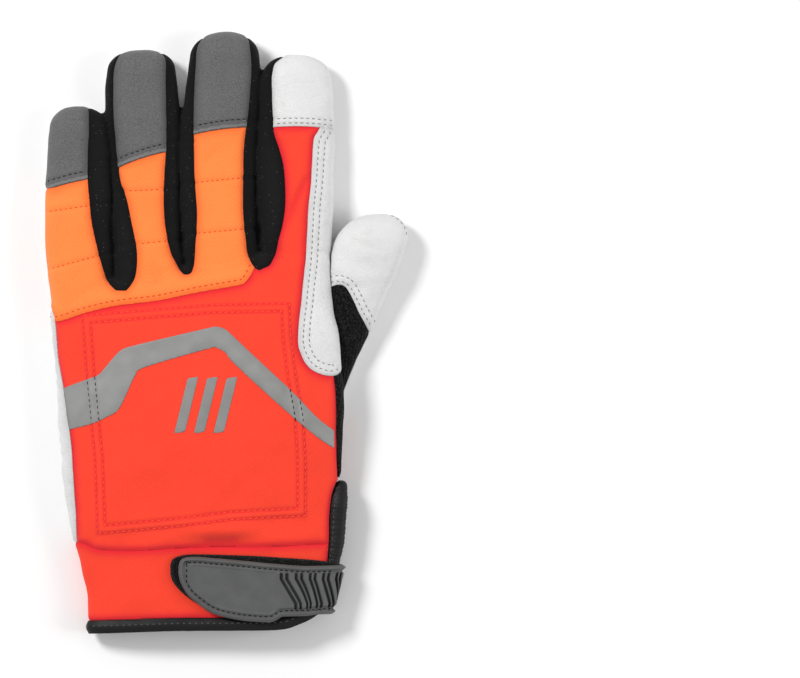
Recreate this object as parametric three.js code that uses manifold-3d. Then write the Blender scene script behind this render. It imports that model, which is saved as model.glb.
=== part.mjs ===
// A work glove with saw protection for the left hand, lying palm down with its fingers straight.
// Millimetres. +Z is up, +Y points to the fingertips and the thumb is on the +X side.
// The glove is one hollow tube of leather and cloth that branches into five fingers. Its wall is cut along
// the seams into the panels that it is sewn from, and the bindings, the closure and the saw guard are added.
import * as THREE from "three";
import { mergeVertices } from "three/addons/utils/BufferGeometryUtils.js";
import Module from "manifold-3d";

const wasm = await Module();
wasm.setup();

// Driving sizes of the hand
const CUFF_LENGTH = 38; // hem to wrist seam
const HAND_LENGTH = 125; // wrist seam to the crotch of the middle finger
const HAND_THICKNESS = 26;
const FINGER_THICKNESS = 19;
const THUMB_WIDTH = 31;
const THUMB_LENGTH = 88; // from its root in the palm to its tip
const THUMB_THICKNESS = 19;

// Each finger's width where it leaves the hand, its length from there, and how far that is beyond the crotch
// of the middle finger
const FINGERS = {
  pinky: { width: 29.5, length: 74.8, thickness: 0.9, start: -10 },
  ring: { width: 29.8, length: 94.3, thickness: 0.97, start: -5.1 },
  middle: { width: 32.9, length: 96.9, thickness: 1, start: 0 },
  index: { width: 30.5, length: 84.8, thickness: 0.97, start: 2.3 },
};

// Walls and gaps
const BACK_WALL = 2;
const PALM_WALL = 1.5;
const SEAM_GAP = 0.3;
const THUMB_CLEARANCE = 0.5; // between the thumb and the side of the hand
const SAW_GUARD_THICKNESS = 3;
const BAND_THICKNESS = 0.4;
const PALM_SEAM_HEIGHT = 6; // the leather of the palm comes this far up the sides

// Bindings and closure
const HEM_WIDTH = 5.6;
const HEM_PROUD = 0.5; // how far the hem binding stands off the cuff, inside and out
const ROLL_WIDTH = 5.6;
const ROLL_HEIGHT = 4.6;
const ROLL_INSET = 2.2; // how far the middle of the roll lies inside the glove's surface
const STRAP_LIFT = 0.8; // gap between the cuff and the hook strap, which passes over the hem binding
const HOOK_THICKNESS = 1.2;
const TAB_THICKNESS = 1.8;

const PALM_WIDTH = Object.values(FINGERS).reduce((sum, finger) => sum + finger.width, 0);
const CROTCH_Y = CUFF_LENGTH + HAND_LENGTH;
const FAR = 400; // a length that reaches past the whole glove

// Sections of the hand from the hem up. along: 0 to 1 is the cuff and 1 to 2 the hand. left and right are
// shares of half the palm's width, the heights shares of the hand's thickness, and slant is how far the
// section's ends lean, as a share of the hand's length. floor is the lowest height of the underside.
const HAND_SECTIONS = {
  columns: ["along", "left", "right", "top", "midLeft", "midRight", "floorLeft", "floorRight", "slant"],
  rows: [
    [0.0, -0.714, 1.028, 0.66, 0.3, 0.37, 0.03, 0.155, 0],
    [0.387, -0.718, 1.03, 0.68, 0.3, 0.37, 0.03, 0.155, 0],
    [0.672, -0.757, 1.032, 0.7, 0.3, 0.38, 0.03, 0.155, 0],
    [0.98, -0.799, 1.046, 0.74, 0.3, 0.38, 0.02, 0.14, 0],
    [1.09, -0.845, 1.053, 0.78, 0.31, 0.39, 0.01, 0.1, 0],
    [1.229, -0.88, 1.063, 0.84, 0.32, 0.43, 0, 0.03, 0],
    [1.367, -0.905, 1.081, 0.9, 0.33, 0.49, 0, 0, 0],
    [1.506, -0.922, 1.085, 0.96, 0.34, 0.55, 0, 0, 0],
    [1.61, -0.937, 1.071, 0.99, 0.34, 0.58, 0, 0, 0.006],
    [1.696, -0.951, 1.06, 1.0, 0.34, 0.58, 0, 0, 0.02],
    [1.79, -0.965, 1.007, 0.98, 0.34, 0.53, 0, 0, 0.045],
    [1.886, -0.975, 0.993, 0.93, 0.34, 0.46, 0, 0, 0.08],
  ],
};
const HAND_END = 1.975; // where the hand ends between the fingers
const HAND_POWERS = { top: 2.6, bottom: 2.6 };

// Plan of each finger. along: 0 at its crotch, 1 at its tip. left and right: 0 and 1 at the edges of its
// slot across the palm. The last row is where the rounding of the tip starts.
const FINGER_PLANS = {
  columns: ["along", "left", "right"],
  pinky: [
    [-0.2, 0.1, 0.95],
    [0.0, 0.035, 1.0],
    [0.289, -0.022, 0.975],
    [0.52, -0.015, 0.961],
    [0.7225, 0.015, 0.955],
    [0.809, 0.025, 0.926],
    [0.867, 0.04, 0.9],
  ],
  ring: [
    [-0.16, 0.06, 0.95],
    [0.0, 0.01, 1.005],
    [0.202, 0.003, 0.953],
    [0.362, -0.012, 0.93],
    [0.523, -0.02, 0.939],
    [0.635, -0.075, 0.94],
    [0.729, -0.148, 0.935],
    [0.821, -0.137, 0.906],
    [0.9, -0.105, 0.862],
  ],
  middle: [
    [-0.16, 0.06, 0.95],
    [0.0, 0.012, 0.99],
    [0.143, -0.02, 0.96],
    [0.299, -0.04, 0.922],
    [0.5, -0.034, 0.941],
    [0.701, -0.002, 0.98],
    [0.79, 0.04, 0.991],
    [0.88, 0.079, 0.978],
  ],
  index: [
    [-0.2, 0.06, 0.9],
    [0.0, 0.02, 0.985],
    [0.158, -0.012, 1.002],
    [0.316, -0.048, 1.018],
    [0.546, -0.032, 1.024],
    [0.776, 0.01, 1.018],
    [0.857, 0.01, 0.99],
  ],
};

// Height of the fingers along their length, as shares of each finger's thickness
const FINGER_HEIGHTS = {
  columns: ["along", "top", "mid"],
  rows: [
    [-0.2, 1.08, 0.42],
    [0.0, 1.1, 0.44],
    [0.25, 1.04, 0.45],
    [0.5, 1.0, 0.45],
    [0.85, 0.95, 0.44],
  ],
};
const FINGER_POWERS = { top: 2.3, bottom: 2.6 };
const TIP_POWER = 2.2;

// The thumb leaves the palm's side low down and lies beside the index finger. x and y place its middle line
// from the thumb's root, as shares of its length, and turn is the lean of its sections in degrees.
const THUMB_ROOT = { across: 0.79, along: 1.407 };
const THUMB_SECTIONS = {
  columns: ["x", "y", "turn", "width", "top", "mid"],
  rows: [
    [0.0, 0.0, -14, 0.82, 0.6, 0.28],
    [0.088, 0.253, -13, 0.8, 0.66, 0.3],
    [0.167, 0.445, -10, 0.84, 0.74, 0.34],
    [0.238, 0.633, -6, 0.9, 0.86, 0.4],
    [0.3, 0.802, -3, 0.99, 0.96, 0.44],
    [0.336, 0.9, -2, 1.0, 0.99, 0.44],
  ],
};
const THUMB_CAP = { x: 0.054, y: 0.153 }; // from the last section to the tip, as shares of the length
const THUMB_JOINT_ALONG = 1.78; // above this the thumb has its own wall against the hand

// Seams in plan, as [across, along] points of the hand
const WRIST_SEAM = [
  [-1.2, 1.02], [-0.79, 1.015], [-0.64, 0.968], [-0.37, 0.952], [-0.1, 0.98],
  [0.17, 1.0], [0.57, 1.0], [0.98, 1.01], [1.4, 1.01],
];
const HEM_EDGE = [
  [-1.2, 0.0], [-0.71, 0.01], [-0.1, 0.045], [0.3, 0.05], [0.64, 0.06], [0.775, 0.12],
  [0.88, 0.2], [0.97, 0.32], [1.03, 0.45], [1.2, 0.7],
];
const SLIT_EDGE = [
  [1.25, 1.262], [1.085, 1.255], [1.055, 1.23], [1.02, 1.195], [1.002, 1.155],
  [0.99, 1.09], [0.986, 1.0], [0.972, 0.7], [0.95, 0.38], [0.95, -0.3],
];
const KNUCKLE_SEAM = [
  [-1.2, 1.772], [-0.927, 1.777], [-0.718, 1.808], [-0.496, 1.832], [-0.216, 1.849],
  [0.063, 1.877], [0.342, 1.901], [0.398, 1.911], [0.436, 1.935], [0.47, 1.97],
];
const THUMB_SIDE_SEAM = [
  [0.926, 2.595], [0.917, 2.564], [0.886, 2.532], [0.878, 2.496], [0.871, 2.434], [0.864, 2.362], [0.855, 2.291],
  [0.844, 2.22], [0.827, 2.005], [0.816, 1.949], [0.803, 1.893], [0.793, 1.838], [0.779, 1.783], [0.771, 1.727],
  [0.773, 1.693], [0.786, 1.672], [0.81, 1.644], [0.839, 1.624], [0.871, 1.61], [0.931, 1.596], [1.001, 1.589],
  [1.05, 1.593], [1.081, 1.606],
];
const PINKY_SIDE_SEAM = [
  [-1.04, 1.84], [-0.965, 1.81], [-0.94, 1.73], [-0.926, 1.645], [-0.888, 1.544],
  [-0.843, 1.395], [-0.816, 1.264], [-0.802, 1.125], [-0.795, 0.9],
];
const SIDE_STRIP_SEAM = [
  [1.02, 1.62], [1.038, 1.55], [1.045, 1.45], [1.05, 1.35], [1.055, 1.24],
];
const SAW_GUARD_OUTLINE = [
  [-0.743, 1.796], [-0.216, 1.818], [0.202, 1.834], [0.708, 1.838], [0.721, 1.714], [0.753, 1.59],
  [0.803, 1.45], [0.82, 1.3], [0.82, 1.108], [0.302, 1.095], [-0.102, 1.07], [-0.638, 1.045],
  [-0.655, 1.3], [-0.68, 1.43], [-0.71, 1.58],
];
const BAND_EDGES = {
  columns: ["across", "upper", "lower"],
  rows: [
    [-0.93, 1.52, 1.37], [-0.888, 1.544, 1.396], [-0.711, 1.578, 1.42], [-0.635, 1.592, 1.433],
    [-0.58, 1.62, 1.446], [-0.496, 1.668, 1.47], [-0.44, 1.686, 1.52], [-0.37, 1.695, 1.592],
    [-0.3, 1.704, 1.62], [0.146, 1.755, 1.684], [0.203, 1.759, 1.685], [0.26, 1.75, 1.67],
    [0.307, 1.731, 1.64], [0.481, 1.65, 1.56], [0.725, 1.538, 1.452], [0.9, 1.448, 1.38],
    [1.02, 1.402, 1.34],
  ],
};

// Where the cloth of each fingertip starts, as along at the finger's left and right edge
const TIP_SEAMS = {
  pinky: { left: 0.52, right: 0.6 },
  ring: { left: 0.455, right: 0.545 },
  middle: { left: 0.53, right: 0.578 },
  index: { left: 0.625, right: 0.625 },
};

// How much of each finger the fourchettes cover beside its neighbour. share is across the finger, with -1
// and 1 at its edges.
const FOURCHETTE_EDGES = {
  columns: ["along", "share"],
  pinkyRight: [
    [1.02, 0.2], [0.97, 0.3], [0.861, 0.36], [0.75, 0.27], [0.58, 0.27], [0.462, 0.32],
    [0.347, 0.37], [0.231, 0.48], [0.116, 0.6], [0.0, 0.78], [-0.058, 1.05],
  ],
  ringLeft: [
    [1.03, -1.2], [0.995, -0.3], [0.977, -0.62], [0.9, -0.82], [0.729, -0.78], [0.6, -0.9], [0.546, -0.93],
    [0.477, -0.9], [0.408, -0.82], [0.317, -0.62], [0.225, -0.52], [0.087, -0.36],
    [-0.018, -0.4], [-0.07, -0.55], [-0.1, -0.72],
  ],
  ringRight: [
    [0.995, 0.3], [0.959, 0.72], [0.867, 0.72], [0.775, 0.67], [0.546, 0.6], [0.362, 0.53],
    [0.225, 0.53], [0.133, 0.58], [0.064, 0.66], [0.0, 0.85], [-0.025, 1.0],
  ],
  middleLeft: [
    [0.995, -0.3], [0.969, -0.7], [0.924, -0.82], [0.835, -0.82], [0.701, -0.74], [0.567, -0.68],
    [0.433, -0.66], [0.299, -0.6], [0.165, -0.6], [0.031, -0.7], [-0.058, -0.82], [-0.078, -0.95],
  ],
  middleRight: [
    [0.995, 0.35], [0.969, 0.7], [0.924, 0.76], [0.835, 0.79], [0.701, 0.77], [0.567, 0.73],
    [0.478, 0.7], [0.299, 0.69], [0.165, 0.66], [0.076, 0.67], [0.009, 0.7], [-0.04, 0.85],
    [-0.058, 1.02],
  ],
  indexLeft: [
    [0.995, -0.35], [0.959, -0.6], [0.908, -0.68], [0.847, -0.7], [0.673, -0.65], [0.6, -0.6],
    [0.52, -0.44], [0.418, -0.3], [0.265, -0.26], [0.163, -0.33], [0.061, -0.5], [-0.01, -0.62],
    [-0.066, -0.78], [-0.08, -0.95],
  ],
};

// The gusset at the root of the thumb ends at this seam: shares of the thumb's length from its root
const GUSSET_SEAM = [
  [-0.1, 0.58], [0.07, 0.655], [0.13, 0.69], [0.178, 0.705], [0.22, 0.69], [0.258, 0.625],
  [0.284, 0.57], [0.34, 0.47],
];

// The closure in plan: the tab's outline, from its lower right round its rounded end to its upper right
const TAB_OUTLINE = [
  [1.4, 0.29], [1.0, 0.248], [0.84, 0.215], [0.655, 0.215], [0.61, 0.17], [0.56, 0.148], [0.44, 0.165],
  [0.3, 0.2], [0.168, 0.25], [0.033, 0.4], [-0.02, 0.5], [-0.055, 0.62], [-0.07, 0.74],
  [-0.065, 0.84], [-0.03, 0.89], [0.033, 0.892], [0.235, 0.87], [0.572, 0.816], [0.843, 0.783],
  [1.05, 0.793], [1.4, 0.793],
];
const HOOK_RIM = 2; // how far the hook strap shows beyond the tab
const STRAP_END = 0.36; // the strap and the tab end on the thumb side, this share of the hand's thickness up

const clamp = (value, low, high) => Math.min(high, Math.max(low, value));
const mix = (a, b, share) => a + (b - a) * share;

// A table's column at a place along it, on a smooth curve through its rows that never overshoots them
function readTable(columns, rows, column, place) {
  const key = columns.indexOf(column);
  const xs = rows.map((row) => row[0]);
  const ys = rows.map((row) => row[key]);
  const last = rows.length - 1;
  if (place <= xs[0]) return ys[0];
  if (place >= xs[last]) return ys[last];
  const slope = (i) => (ys[i + 1] - ys[i]) / (xs[i + 1] - xs[i]);
  const tangent = (i) => {
    if (i === 0) return slope(0);
    if (i === last) return slope(last - 1);
    const before = slope(i - 1);
    const after = slope(i);
    return before * after <= 0 ? 0 : (2 * before * after) / (before + after);
  };
  const i = xs.findIndex((x, k) => place >= x && place < xs[k + 1]);
  const span = xs[i + 1] - xs[i];
  const t = (place - xs[i]) / span;
  return (
    ys[i] * (2 * t ** 3 - 3 * t ** 2 + 1) +
    tangent(i) * span * (t ** 3 - 2 * t ** 2 + t) +
    ys[i + 1] * (3 * t ** 2 - 2 * t ** 3) +
    tangent(i + 1) * span * (t ** 3 - t ** 2)
  );
}

// Height along the glove: 0 to 1 is the cuff, 1 to 2 the hand, and above 2 the middle finger
function heightAlong(along) {
  if (along < 1) return along * CUFF_LENGTH;
  if (along < 2) return CUFF_LENGTH + (along - 1) * HAND_LENGTH;
  return CROTCH_Y + (along - 2) * FINGERS.middle.length;
}

const handPoint = ([across, along]) => [(across * PALM_WIDTH) / 2, heightAlong(along)];

// Slots of the fingers side by side across the palm
let slotLeft = -PALM_WIDTH / 2;
for (const [name, finger] of Object.entries(FINGERS)) {
  finger.plan = FINGER_PLANS[name];
  finger.slotLeft = slotLeft;
  finger.base = CROTCH_Y + finger.start;
  slotLeft += finger.width;
}

function fingerEdge(finger, side, along) {
  return finger.slotLeft + finger.width * readTable(FINGER_PLANS.columns, finger.plan, side, along);
}

function fingerPoint(finger, share, along) {
  const left = fingerEdge(finger, "left", along);
  const right = fingerEdge(finger, "right", along);
  return [mix(left, right, (share + 1) / 2), finger.base + along * finger.length];
}

// Solids

function solidOf(geometry) {
  const bare = geometry.clone();
  bare.deleteAttribute("normal");
  bare.deleteAttribute("uv");
  const merged = mergeVertices(bare, 1e-4);
  return new wasm.Manifold(
    new wasm.Mesh({
      numProp: 3,
      vertProperties: new Float32Array(merged.attributes.position.array),
      triVerts: new Uint32Array(merged.index.array),
    }),
  );
}

function geometryOf(solid) {
  const { vertProperties, triVerts, numProp } = solid.getMesh();
  const geometry = new THREE.BufferGeometry();
  const positions = new Float32Array((vertProperties.length / numProp) * 3);
  for (let i = 0; i < positions.length / 3; i++) {
    positions.set(vertProperties.subarray(i * numProp, i * numProp + 3), i * 3);
  }
  geometry.setAttribute("position", new THREE.BufferAttribute(positions, 3));
  geometry.setIndex(new THREE.BufferAttribute(new Uint32Array(triVerts), 1));
  geometry.computeVertexNormals();
  return geometry;
}

// A closed skin over rings of points, each ring the same length, with a flat or pointed cap at both ends
function loft(rings) {
  const count = rings[0].length;
  const middle = (ring) => ring.reduce((sum, p) => sum.map((v, k) => v + p[k] / count), [0, 0, 0]);
  const points = [...rings.flat(), middle(rings[0]), middle(rings.at(-1))];
  const first = rings.length * count;
  const faces = [];
  for (let i = 0; i < count; i++) {
    const next = (i + 1) % count;
    for (let r = 0; r + 1 < rings.length; r++) {
      const a = r * count + i;
      const b = r * count + next;
      faces.push(a, b, b + count, a, b + count, a + count);
    }
    faces.push(first, next, i);
    const top = (rings.length - 1) * count;
    faces.push(first + 1, top + i, top + next);
  }
  const geometry = new THREE.BufferGeometry();
  geometry.setAttribute("position", new THREE.BufferAttribute(new Float32Array(points.flat()), 3));
  geometry.setIndex(faces);
  const solid = solidOf(geometry);
  return solid.volume() > 0 ? solid : solidOf(turnedOut(geometry));
}

function turnedOut(geometry) {
  const turned = geometry.clone();
  const index = Array.from(geometry.index.array);
  for (let i = 0; i < index.length; i += 3) [index[i + 1], index[i + 2]] = [index[i + 2], index[i + 1]];
  turned.setIndex(index);
  return turned;
}

function prism(outline, low, high) {
  const shape = new THREE.Shape(outline.map(([x, y]) => new THREE.Vector2(x, y)));
  const geometry = new THREE.ExtrudeGeometry(shape, { depth: high - low, bevelEnabled: false });
  geometry.translate(0, 0, low);
  return solidOf(geometry);
}

// An outline with every side moved outwards by a distance
function grown(outline, distance) {
  const area = outline.reduce((sum, [x, y], i) => {
    const [nextX, nextY] = outline[(i + 1) % outline.length];
    return sum + x * nextY - nextX * y;
  }, 0);
  const sign = area > 0 ? 1 : -1;
  return outline.map(([x, y], i) => {
    const before = outline.at(i - 1);
    const after = outline[(i + 1) % outline.length];
    const inward = new THREE.Vector2(x - before[0], y - before[1]).normalize();
    const outward = new THREE.Vector2(after[0] - x, after[1] - y).normalize();
    const normal = new THREE.Vector2(inward.y + outward.y, -inward.x - outward.x).normalize();
    const stretch = 1 / Math.max(0.4, normal.x * inward.y - normal.y * inward.x);
    return [x + sign * distance * stretch * normal.x, y + sign * distance * stretch * normal.y];
  });
}

// One section of a tube. The underside is flattened where it would go below the floor.
function sectionRing(section, grow, sides) {
  const { centre, direction, halfWidth, top, mid, floor, powers } = section;
  const ring = [];
  for (let i = 0; i < sides; i++) {
    const angle = (2 * Math.PI * i) / sides;
    const c = Math.cos(angle);
    const s = Math.sin(angle);
    const power = 2 / (s >= 0 ? powers.top : powers.bottom);
    const t = Math.sign(c) * Math.abs(c) ** power;
    const q = Math.abs(s) ** power;
    const share = (t + 1) / 2;
    const middle = mix(mid[0], mid[1], share);
    const reach = t * Math.max(0, halfWidth + grow.side);
    const lowest = mix(floor[0], floor[1], share) - grow.palm;
    const up = Math.max(0, top - (mid[0] + mid[1]) / 2 + grow.back);
    const down = Math.max(0, section.down + grow.palm);
    const z = s >= 0 ? middle + q * up : Math.max(lowest, middle - q * down);
    ring.push([centre[0] + reach * direction[0], centre[1] + reach * direction[1], Math.max(z, lowest)]);
  }
  return ring;
}

const evenly = (distance) => ({ side: distance, back: distance, palm: distance });
const INSIDE = { side: -(BACK_WALL + PALM_WALL) / 2, back: -BACK_WALL, palm: -PALM_WALL };
const CAP_SHARES = [1, 0.6, 0.28, 0.06];
const roundedTo = (share) => (1 - (1 - share) ** TIP_POWER) ** (1 / TIP_POWER);

// The hand and the cuff, from below the hem to the crotches
const HAND_SIDES = 24;
const HAND_STEPS = [-0.12, 0.4, 0.7, 0.98, 1.1, 1.23, 1.37, 1.5, 1.61, 1.7, 1.79, 1.886];

function handSection(along, shrink = 1) {
  const read = (column) => readTable(HAND_SECTIONS.columns, HAND_SECTIONS.rows, column, along);
  const left = (read("left") * PALM_WIDTH) / 2;
  const right = (read("right") * PALM_WIDTH) / 2;
  const slant = read("slant") * HAND_LENGTH;
  const mid = [read("midLeft") * HAND_THICKNESS, read("midRight") * HAND_THICKNESS];
  const middle = (mid[0] + mid[1]) / 2;
  const halfWidth = Math.hypot((right - left) / 2, slant);
  return {
    centre: [(left + right) / 2, heightAlong(along)],
    direction: [(right - left) / 2 / halfWidth, slant / halfWidth],
    halfWidth: halfWidth * mix(0.9, 1, shrink),
    top: middle + (read("top") * HAND_THICKNESS - middle) * shrink,
    mid,
    floor: [read("floorLeft") * HAND_THICKNESS, read("floorRight") * HAND_THICKNESS],
    down: (middle + 0.06 * HAND_THICKNESS) * shrink,
    powers: HAND_POWERS,
  };
}

function handTube(grow) {
  const rings = HAND_STEPS.map((along) => sectionRing(handSection(along), grow, HAND_SIDES));
  const start = HAND_STEPS.at(-1);
  const end = HAND_END + grow.side / HAND_LENGTH;
  for (const share of CAP_SHARES.slice(1)) {
    const section = handSection(start, roundedTo(share));
    section.centre[1] = heightAlong(mix(end, start, share));
    rings.push(sectionRing(section, grow, HAND_SIDES));
  }
  return loft(rings);
}

// A finger, from inside the hand to its rounded tip
const FINGER_SIDES = 14;
const FINGER_STEPS = [0, 0.16, 0.36, 0.58, 0.79, 1];

function fingerTube(finger, grow) {
  const first = finger.plan[0][0];
  const last = finger.plan.at(-1)[0];
  const section = (along, shrink = 1) => {
    const left = fingerEdge(finger, "left", along);
    const right = fingerEdge(finger, "right", along);
    const read = (column) => readTable(FINGER_HEIGHTS.columns, FINGER_HEIGHTS.rows, column, along);
    const thickness = FINGER_THICKNESS * finger.thickness;
    const mid = read("mid") * thickness;
    return {
      centre: [(left + right) / 2, finger.base + along * finger.length],
      direction: [1, 0],
      halfWidth: ((right - left) / 2) * shrink,
      top: mid + (read("top") * thickness - mid) * shrink,
      mid: [mid, mid],
      floor: [0, 0],
      down: (mid + 0.06 * thickness) * shrink,
      powers: FINGER_POWERS,
    };
  };
  const rings = FINGER_STEPS.map((share) =>
    sectionRing(section(mix(first, last, share)), grow, FINGER_SIDES),
  );
  const end = 1 + grow.side / finger.length;
  for (const share of CAP_SHARES.slice(1)) {
    const cap = section(last, roundedTo(share));
    cap.centre[1] = finger.base + mix(end, last, share) * finger.length;
    rings.push(sectionRing(cap, grow, FINGER_SIDES));
  }
  return loft(rings);
}

// The thumb, from its root inside the palm to its rounded tip
const THUMB_SIDES = 14;
const thumbRoot = handPoint([THUMB_ROOT.across, THUMB_ROOT.along]);
const thumbPoint = ([x, y]) => [thumbRoot[0] + x * THUMB_LENGTH, thumbRoot[1] + y * THUMB_LENGTH];

function thumbTube(grow) {
  const section = (row, shrink, ahead) => {
    const [x, y, turn, width, top, mid] = row;
    const angle = THREE.MathUtils.degToRad(turn);
    const middle = mid * THUMB_THICKNESS;
    return {
      centre: thumbPoint([x + ahead * THUMB_CAP.x, y + ahead * THUMB_CAP.y]),
      direction: [Math.cos(angle), Math.sin(angle)],
      halfWidth: ((width * THUMB_WIDTH) / 2) * shrink,
      top: middle + (top * THUMB_THICKNESS - middle) * shrink,
      mid: [middle, middle],
      floor: [0, 0],
      down: (middle + 0.06 * THUMB_THICKNESS) * shrink,
      powers: FINGER_POWERS,
    };
  };
  const rings = [];
  for (const row of THUMB_SECTIONS.rows) rings.push(sectionRing(section(row, 1, 0), grow, THUMB_SIDES));
  const last = THUMB_SECTIONS.rows.at(-1);
  const reach = 1 + grow.side / (Math.hypot(THUMB_CAP.x, THUMB_CAP.y) * THUMB_LENGTH);
  for (const share of CAP_SHARES.slice(1)) {
    rings.push(sectionRing(section(last, roundedTo(share), (1 - share) * reach), grow, THUMB_SIDES));
  }
  return loft(rings);
}

// Half-spaces and regions in plan
const slab = (low, high) => prism([[-FAR, -FAR], [FAR, -FAR], [FAR, FAR], [-FAR, FAR]], low, high);
const column = (outline) => prism(outline, -FAR, FAR);
const belowLine = (line) => [...line, [FAR, -FAR], [-FAR, -FAR]];
const besideLine = (line, side) => [...line, [side * FAR, line.at(-1)[1]], [side * FAR, line[0][1]]];

// Walls of the glove before it is cut into panels
const fingers = Object.values(FINGERS);
const outside = fingers.reduce((solid, finger) => solid.add(fingerTube(finger, evenly(0))), handTube(evenly(0)));
const inside = fingers.reduce((solid, finger) => solid.add(fingerTube(finger, INSIDE)), handTube(INSIDE));
const grownHand = (distance) =>
  handTube(evenly(distance)).add(fingerTube(FINGERS.index, evenly(distance)));

const hemLine = HEM_EDGE.map(handPoint);
const wristLine = WRIST_SEAM.map(handPoint);
const slitLine = SLIT_EDGE.map(handPoint);
const slitRegion = besideLine(slitLine, 1);
const belowHem = column(belowLine(hemLine));

const thumbJoint = heightAlong(THUMB_JOINT_ALONG);
const aboveJoint = prism([[-FAR, thumbJoint], [FAR, thumbJoint], [FAR, FAR], [-FAR, FAR]], -FAR, FAR);
const thumbOutside = thumbTube(evenly(0));
const thumbInside = thumbTube(INSIDE);
const handForThumb = grownHand(THUMB_CLEARANCE);
const thumbHollow = thumbInside.subtract(
  grownHand(THUMB_CLEARANCE + PALM_WALL).intersect(aboveJoint),
);
const thumbWall = largest(thumbOutside.subtract(thumbHollow).subtract(handForThumb));
const gloveWall = outside
  .subtract(inside)
  .subtract(thumbInside.subtract(aboveJoint))
  .subtract(column(slitRegion))
  .subtract(belowHem);

function largest(solid) {
  return solid.decompose().reduce((best, part) => (part.volume() > best.volume() ? part : best));
}

// Heights of the hand's underside and back at a place across it
function surfaceHeights(along, x) {
  const { centre, halfWidth, top, mid, floor, down } = handSection(along);
  const t = clamp((x - centre[0]) / halfWidth, -1, 1);
  const share = (t + 1) / 2;
  const middle = mix(mid[0], mid[1], share);
  const rise = (power) => (1 - Math.abs(t) ** power) ** (1 / power);
  return [
    Math.max(mix(floor[0], floor[1], share), middle - rise(HAND_POWERS.bottom) * down),
    middle + rise(HAND_POWERS.top) * (top - (mid[0] + mid[1]) / 2),
  ];
}

// The rolled binding round the slit: up the edge of the back, over its end and down the edge of the palm.
// Each row has its place along the glove and how far it lies from the slit's edge, as a share of its width.
const ROLL_ROWS = [[0.42, 0.34], [0.68, 0.36], [0.86, 0.42], [1.02, 0.6], [1.1, 0.66], [1.16, 0.68]];
function rollPath() {
  const leg = ([along, offset], side) => {
    const edge = readLine(slitLine, heightAlong(along));
    const heights = surfaceHeights(along, edge);
    const z = side === "back" ? heights[1] - ROLL_INSET : heights[0] + ROLL_INSET;
    return [edge + ROLL_WIDTH * offset, heightAlong(along), z];
  };
  const upper = ROLL_ROWS.map((row) => leg(row, "back"));
  const lower = ROLL_ROWS.map((row) => leg(row, "palm")).reverse();
  const [x, y] = upper.at(-1);
  return [...upper, [x + 0.1 * ROLL_WIDTH, y + ROLL_WIDTH, (upper.at(-1)[2] + lower[0][2]) / 2], ...lower];
}

function readLine(line, y) {
  const i = line.findIndex((p, k) => k + 1 < line.length && (p[1] - y) * (line[k + 1][1] - y) <= 0);
  const [a, b] = [line[i], line[i + 1]];
  return mix(a[0], b[0], (y - a[1]) / (b[1] - a[1]));
}

const ROLL_SIDES = 8;
const ROLL_STEPS = 18;

function roll(grow) {
  const curve = new THREE.CatmullRomCurve3(rollPath().map((p) => new THREE.Vector3(...p)));
  const rings = [];
  for (let i = 0; i <= ROLL_STEPS; i++) {
    const place = curve.getPointAt(i / ROLL_STEPS);
    const tangent = curve.getTangentAt(i / ROLL_STEPS);
    const wide = new THREE.Vector3(1, 0, 0).addScaledVector(tangent, -tangent.x).normalize();
    const high = new THREE.Vector3().crossVectors(tangent, wide);
    rings.push(
      Array.from({ length: ROLL_SIDES }, (_, k) => {
        const angle = (2 * Math.PI * (k + 0.5)) / ROLL_SIDES;
        const point = place
          .clone()
          .addScaledVector(wide, Math.cos(angle) * (ROLL_WIDTH / 2 + grow))
          .addScaledVector(high, Math.sin(angle) * (ROLL_HEIGHT / 2 + grow));
        return point.toArray();
      }),
    );
  }
  return loft(rings);
}

const group = new THREE.Group();
const pieces = [];

function piece(name, solid, colour, roughness, metalness = 0) {
  const material = new THREE.MeshStandardMaterial({ color: colour, roughness, metalness });
  const mesh = new THREE.Mesh(geometryOf(largest(solid)), material);
  mesh.name = name;
  group.add(mesh);
  pieces.push(mesh);
}

const COLOURS = {
  leather: 0xe6e6e4,
  red: 0xf9452f,
  orange: 0xff8138,
  grey: 0x6f6f6f,
  black: 0x1c1c1c,
  rubber: 0x5c5d5e,
  reflective: 0x929492,
};

// Bindings
const rollSolid = roll(0);
const rollClear = roll(SEAM_GAP);
const hemTop = hemLine.map(([x, y], i, line) => {
  const before = line[Math.max(0, i - 1)];
  const after = line[Math.min(line.length - 1, i + 1)];
  const away = new THREE.Vector2(before[1] - after[1], after[0] - before[0]).normalize();
  return [x + away.x * HEM_WIDTH, y + away.y * HEM_WIDTH];
});
const hemColumn = column(belowLine(hemTop)).subtract(belowHem);
const hemRing = handTube(evenly(HEM_PROUD))
  .subtract(
    handTube({
      side: INSIDE.side - HEM_PROUD,
      back: INSIDE.back - HEM_PROUD,
      palm: INSIDE.palm - HEM_PROUD,
    }),
  )
  .intersect(hemColumn)
  .subtract(column(slitRegion))
  .subtract(rollClear);
const wallAboveHem = gloveWall
  .subtract(column(belowLine(hemTop.map(([x, y]) => [x, y + SEAM_GAP]))))
  .subtract(rollClear);

// The cuff goes all round below the wrist seam
const cuffWall = wallAboveHem.intersect(column(belowLine(wristLine)));
const handWall = wallAboveHem.subtract(column(belowLine(wristLine.map(([x, y]) => [x, y + SEAM_GAP]))));

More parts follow.
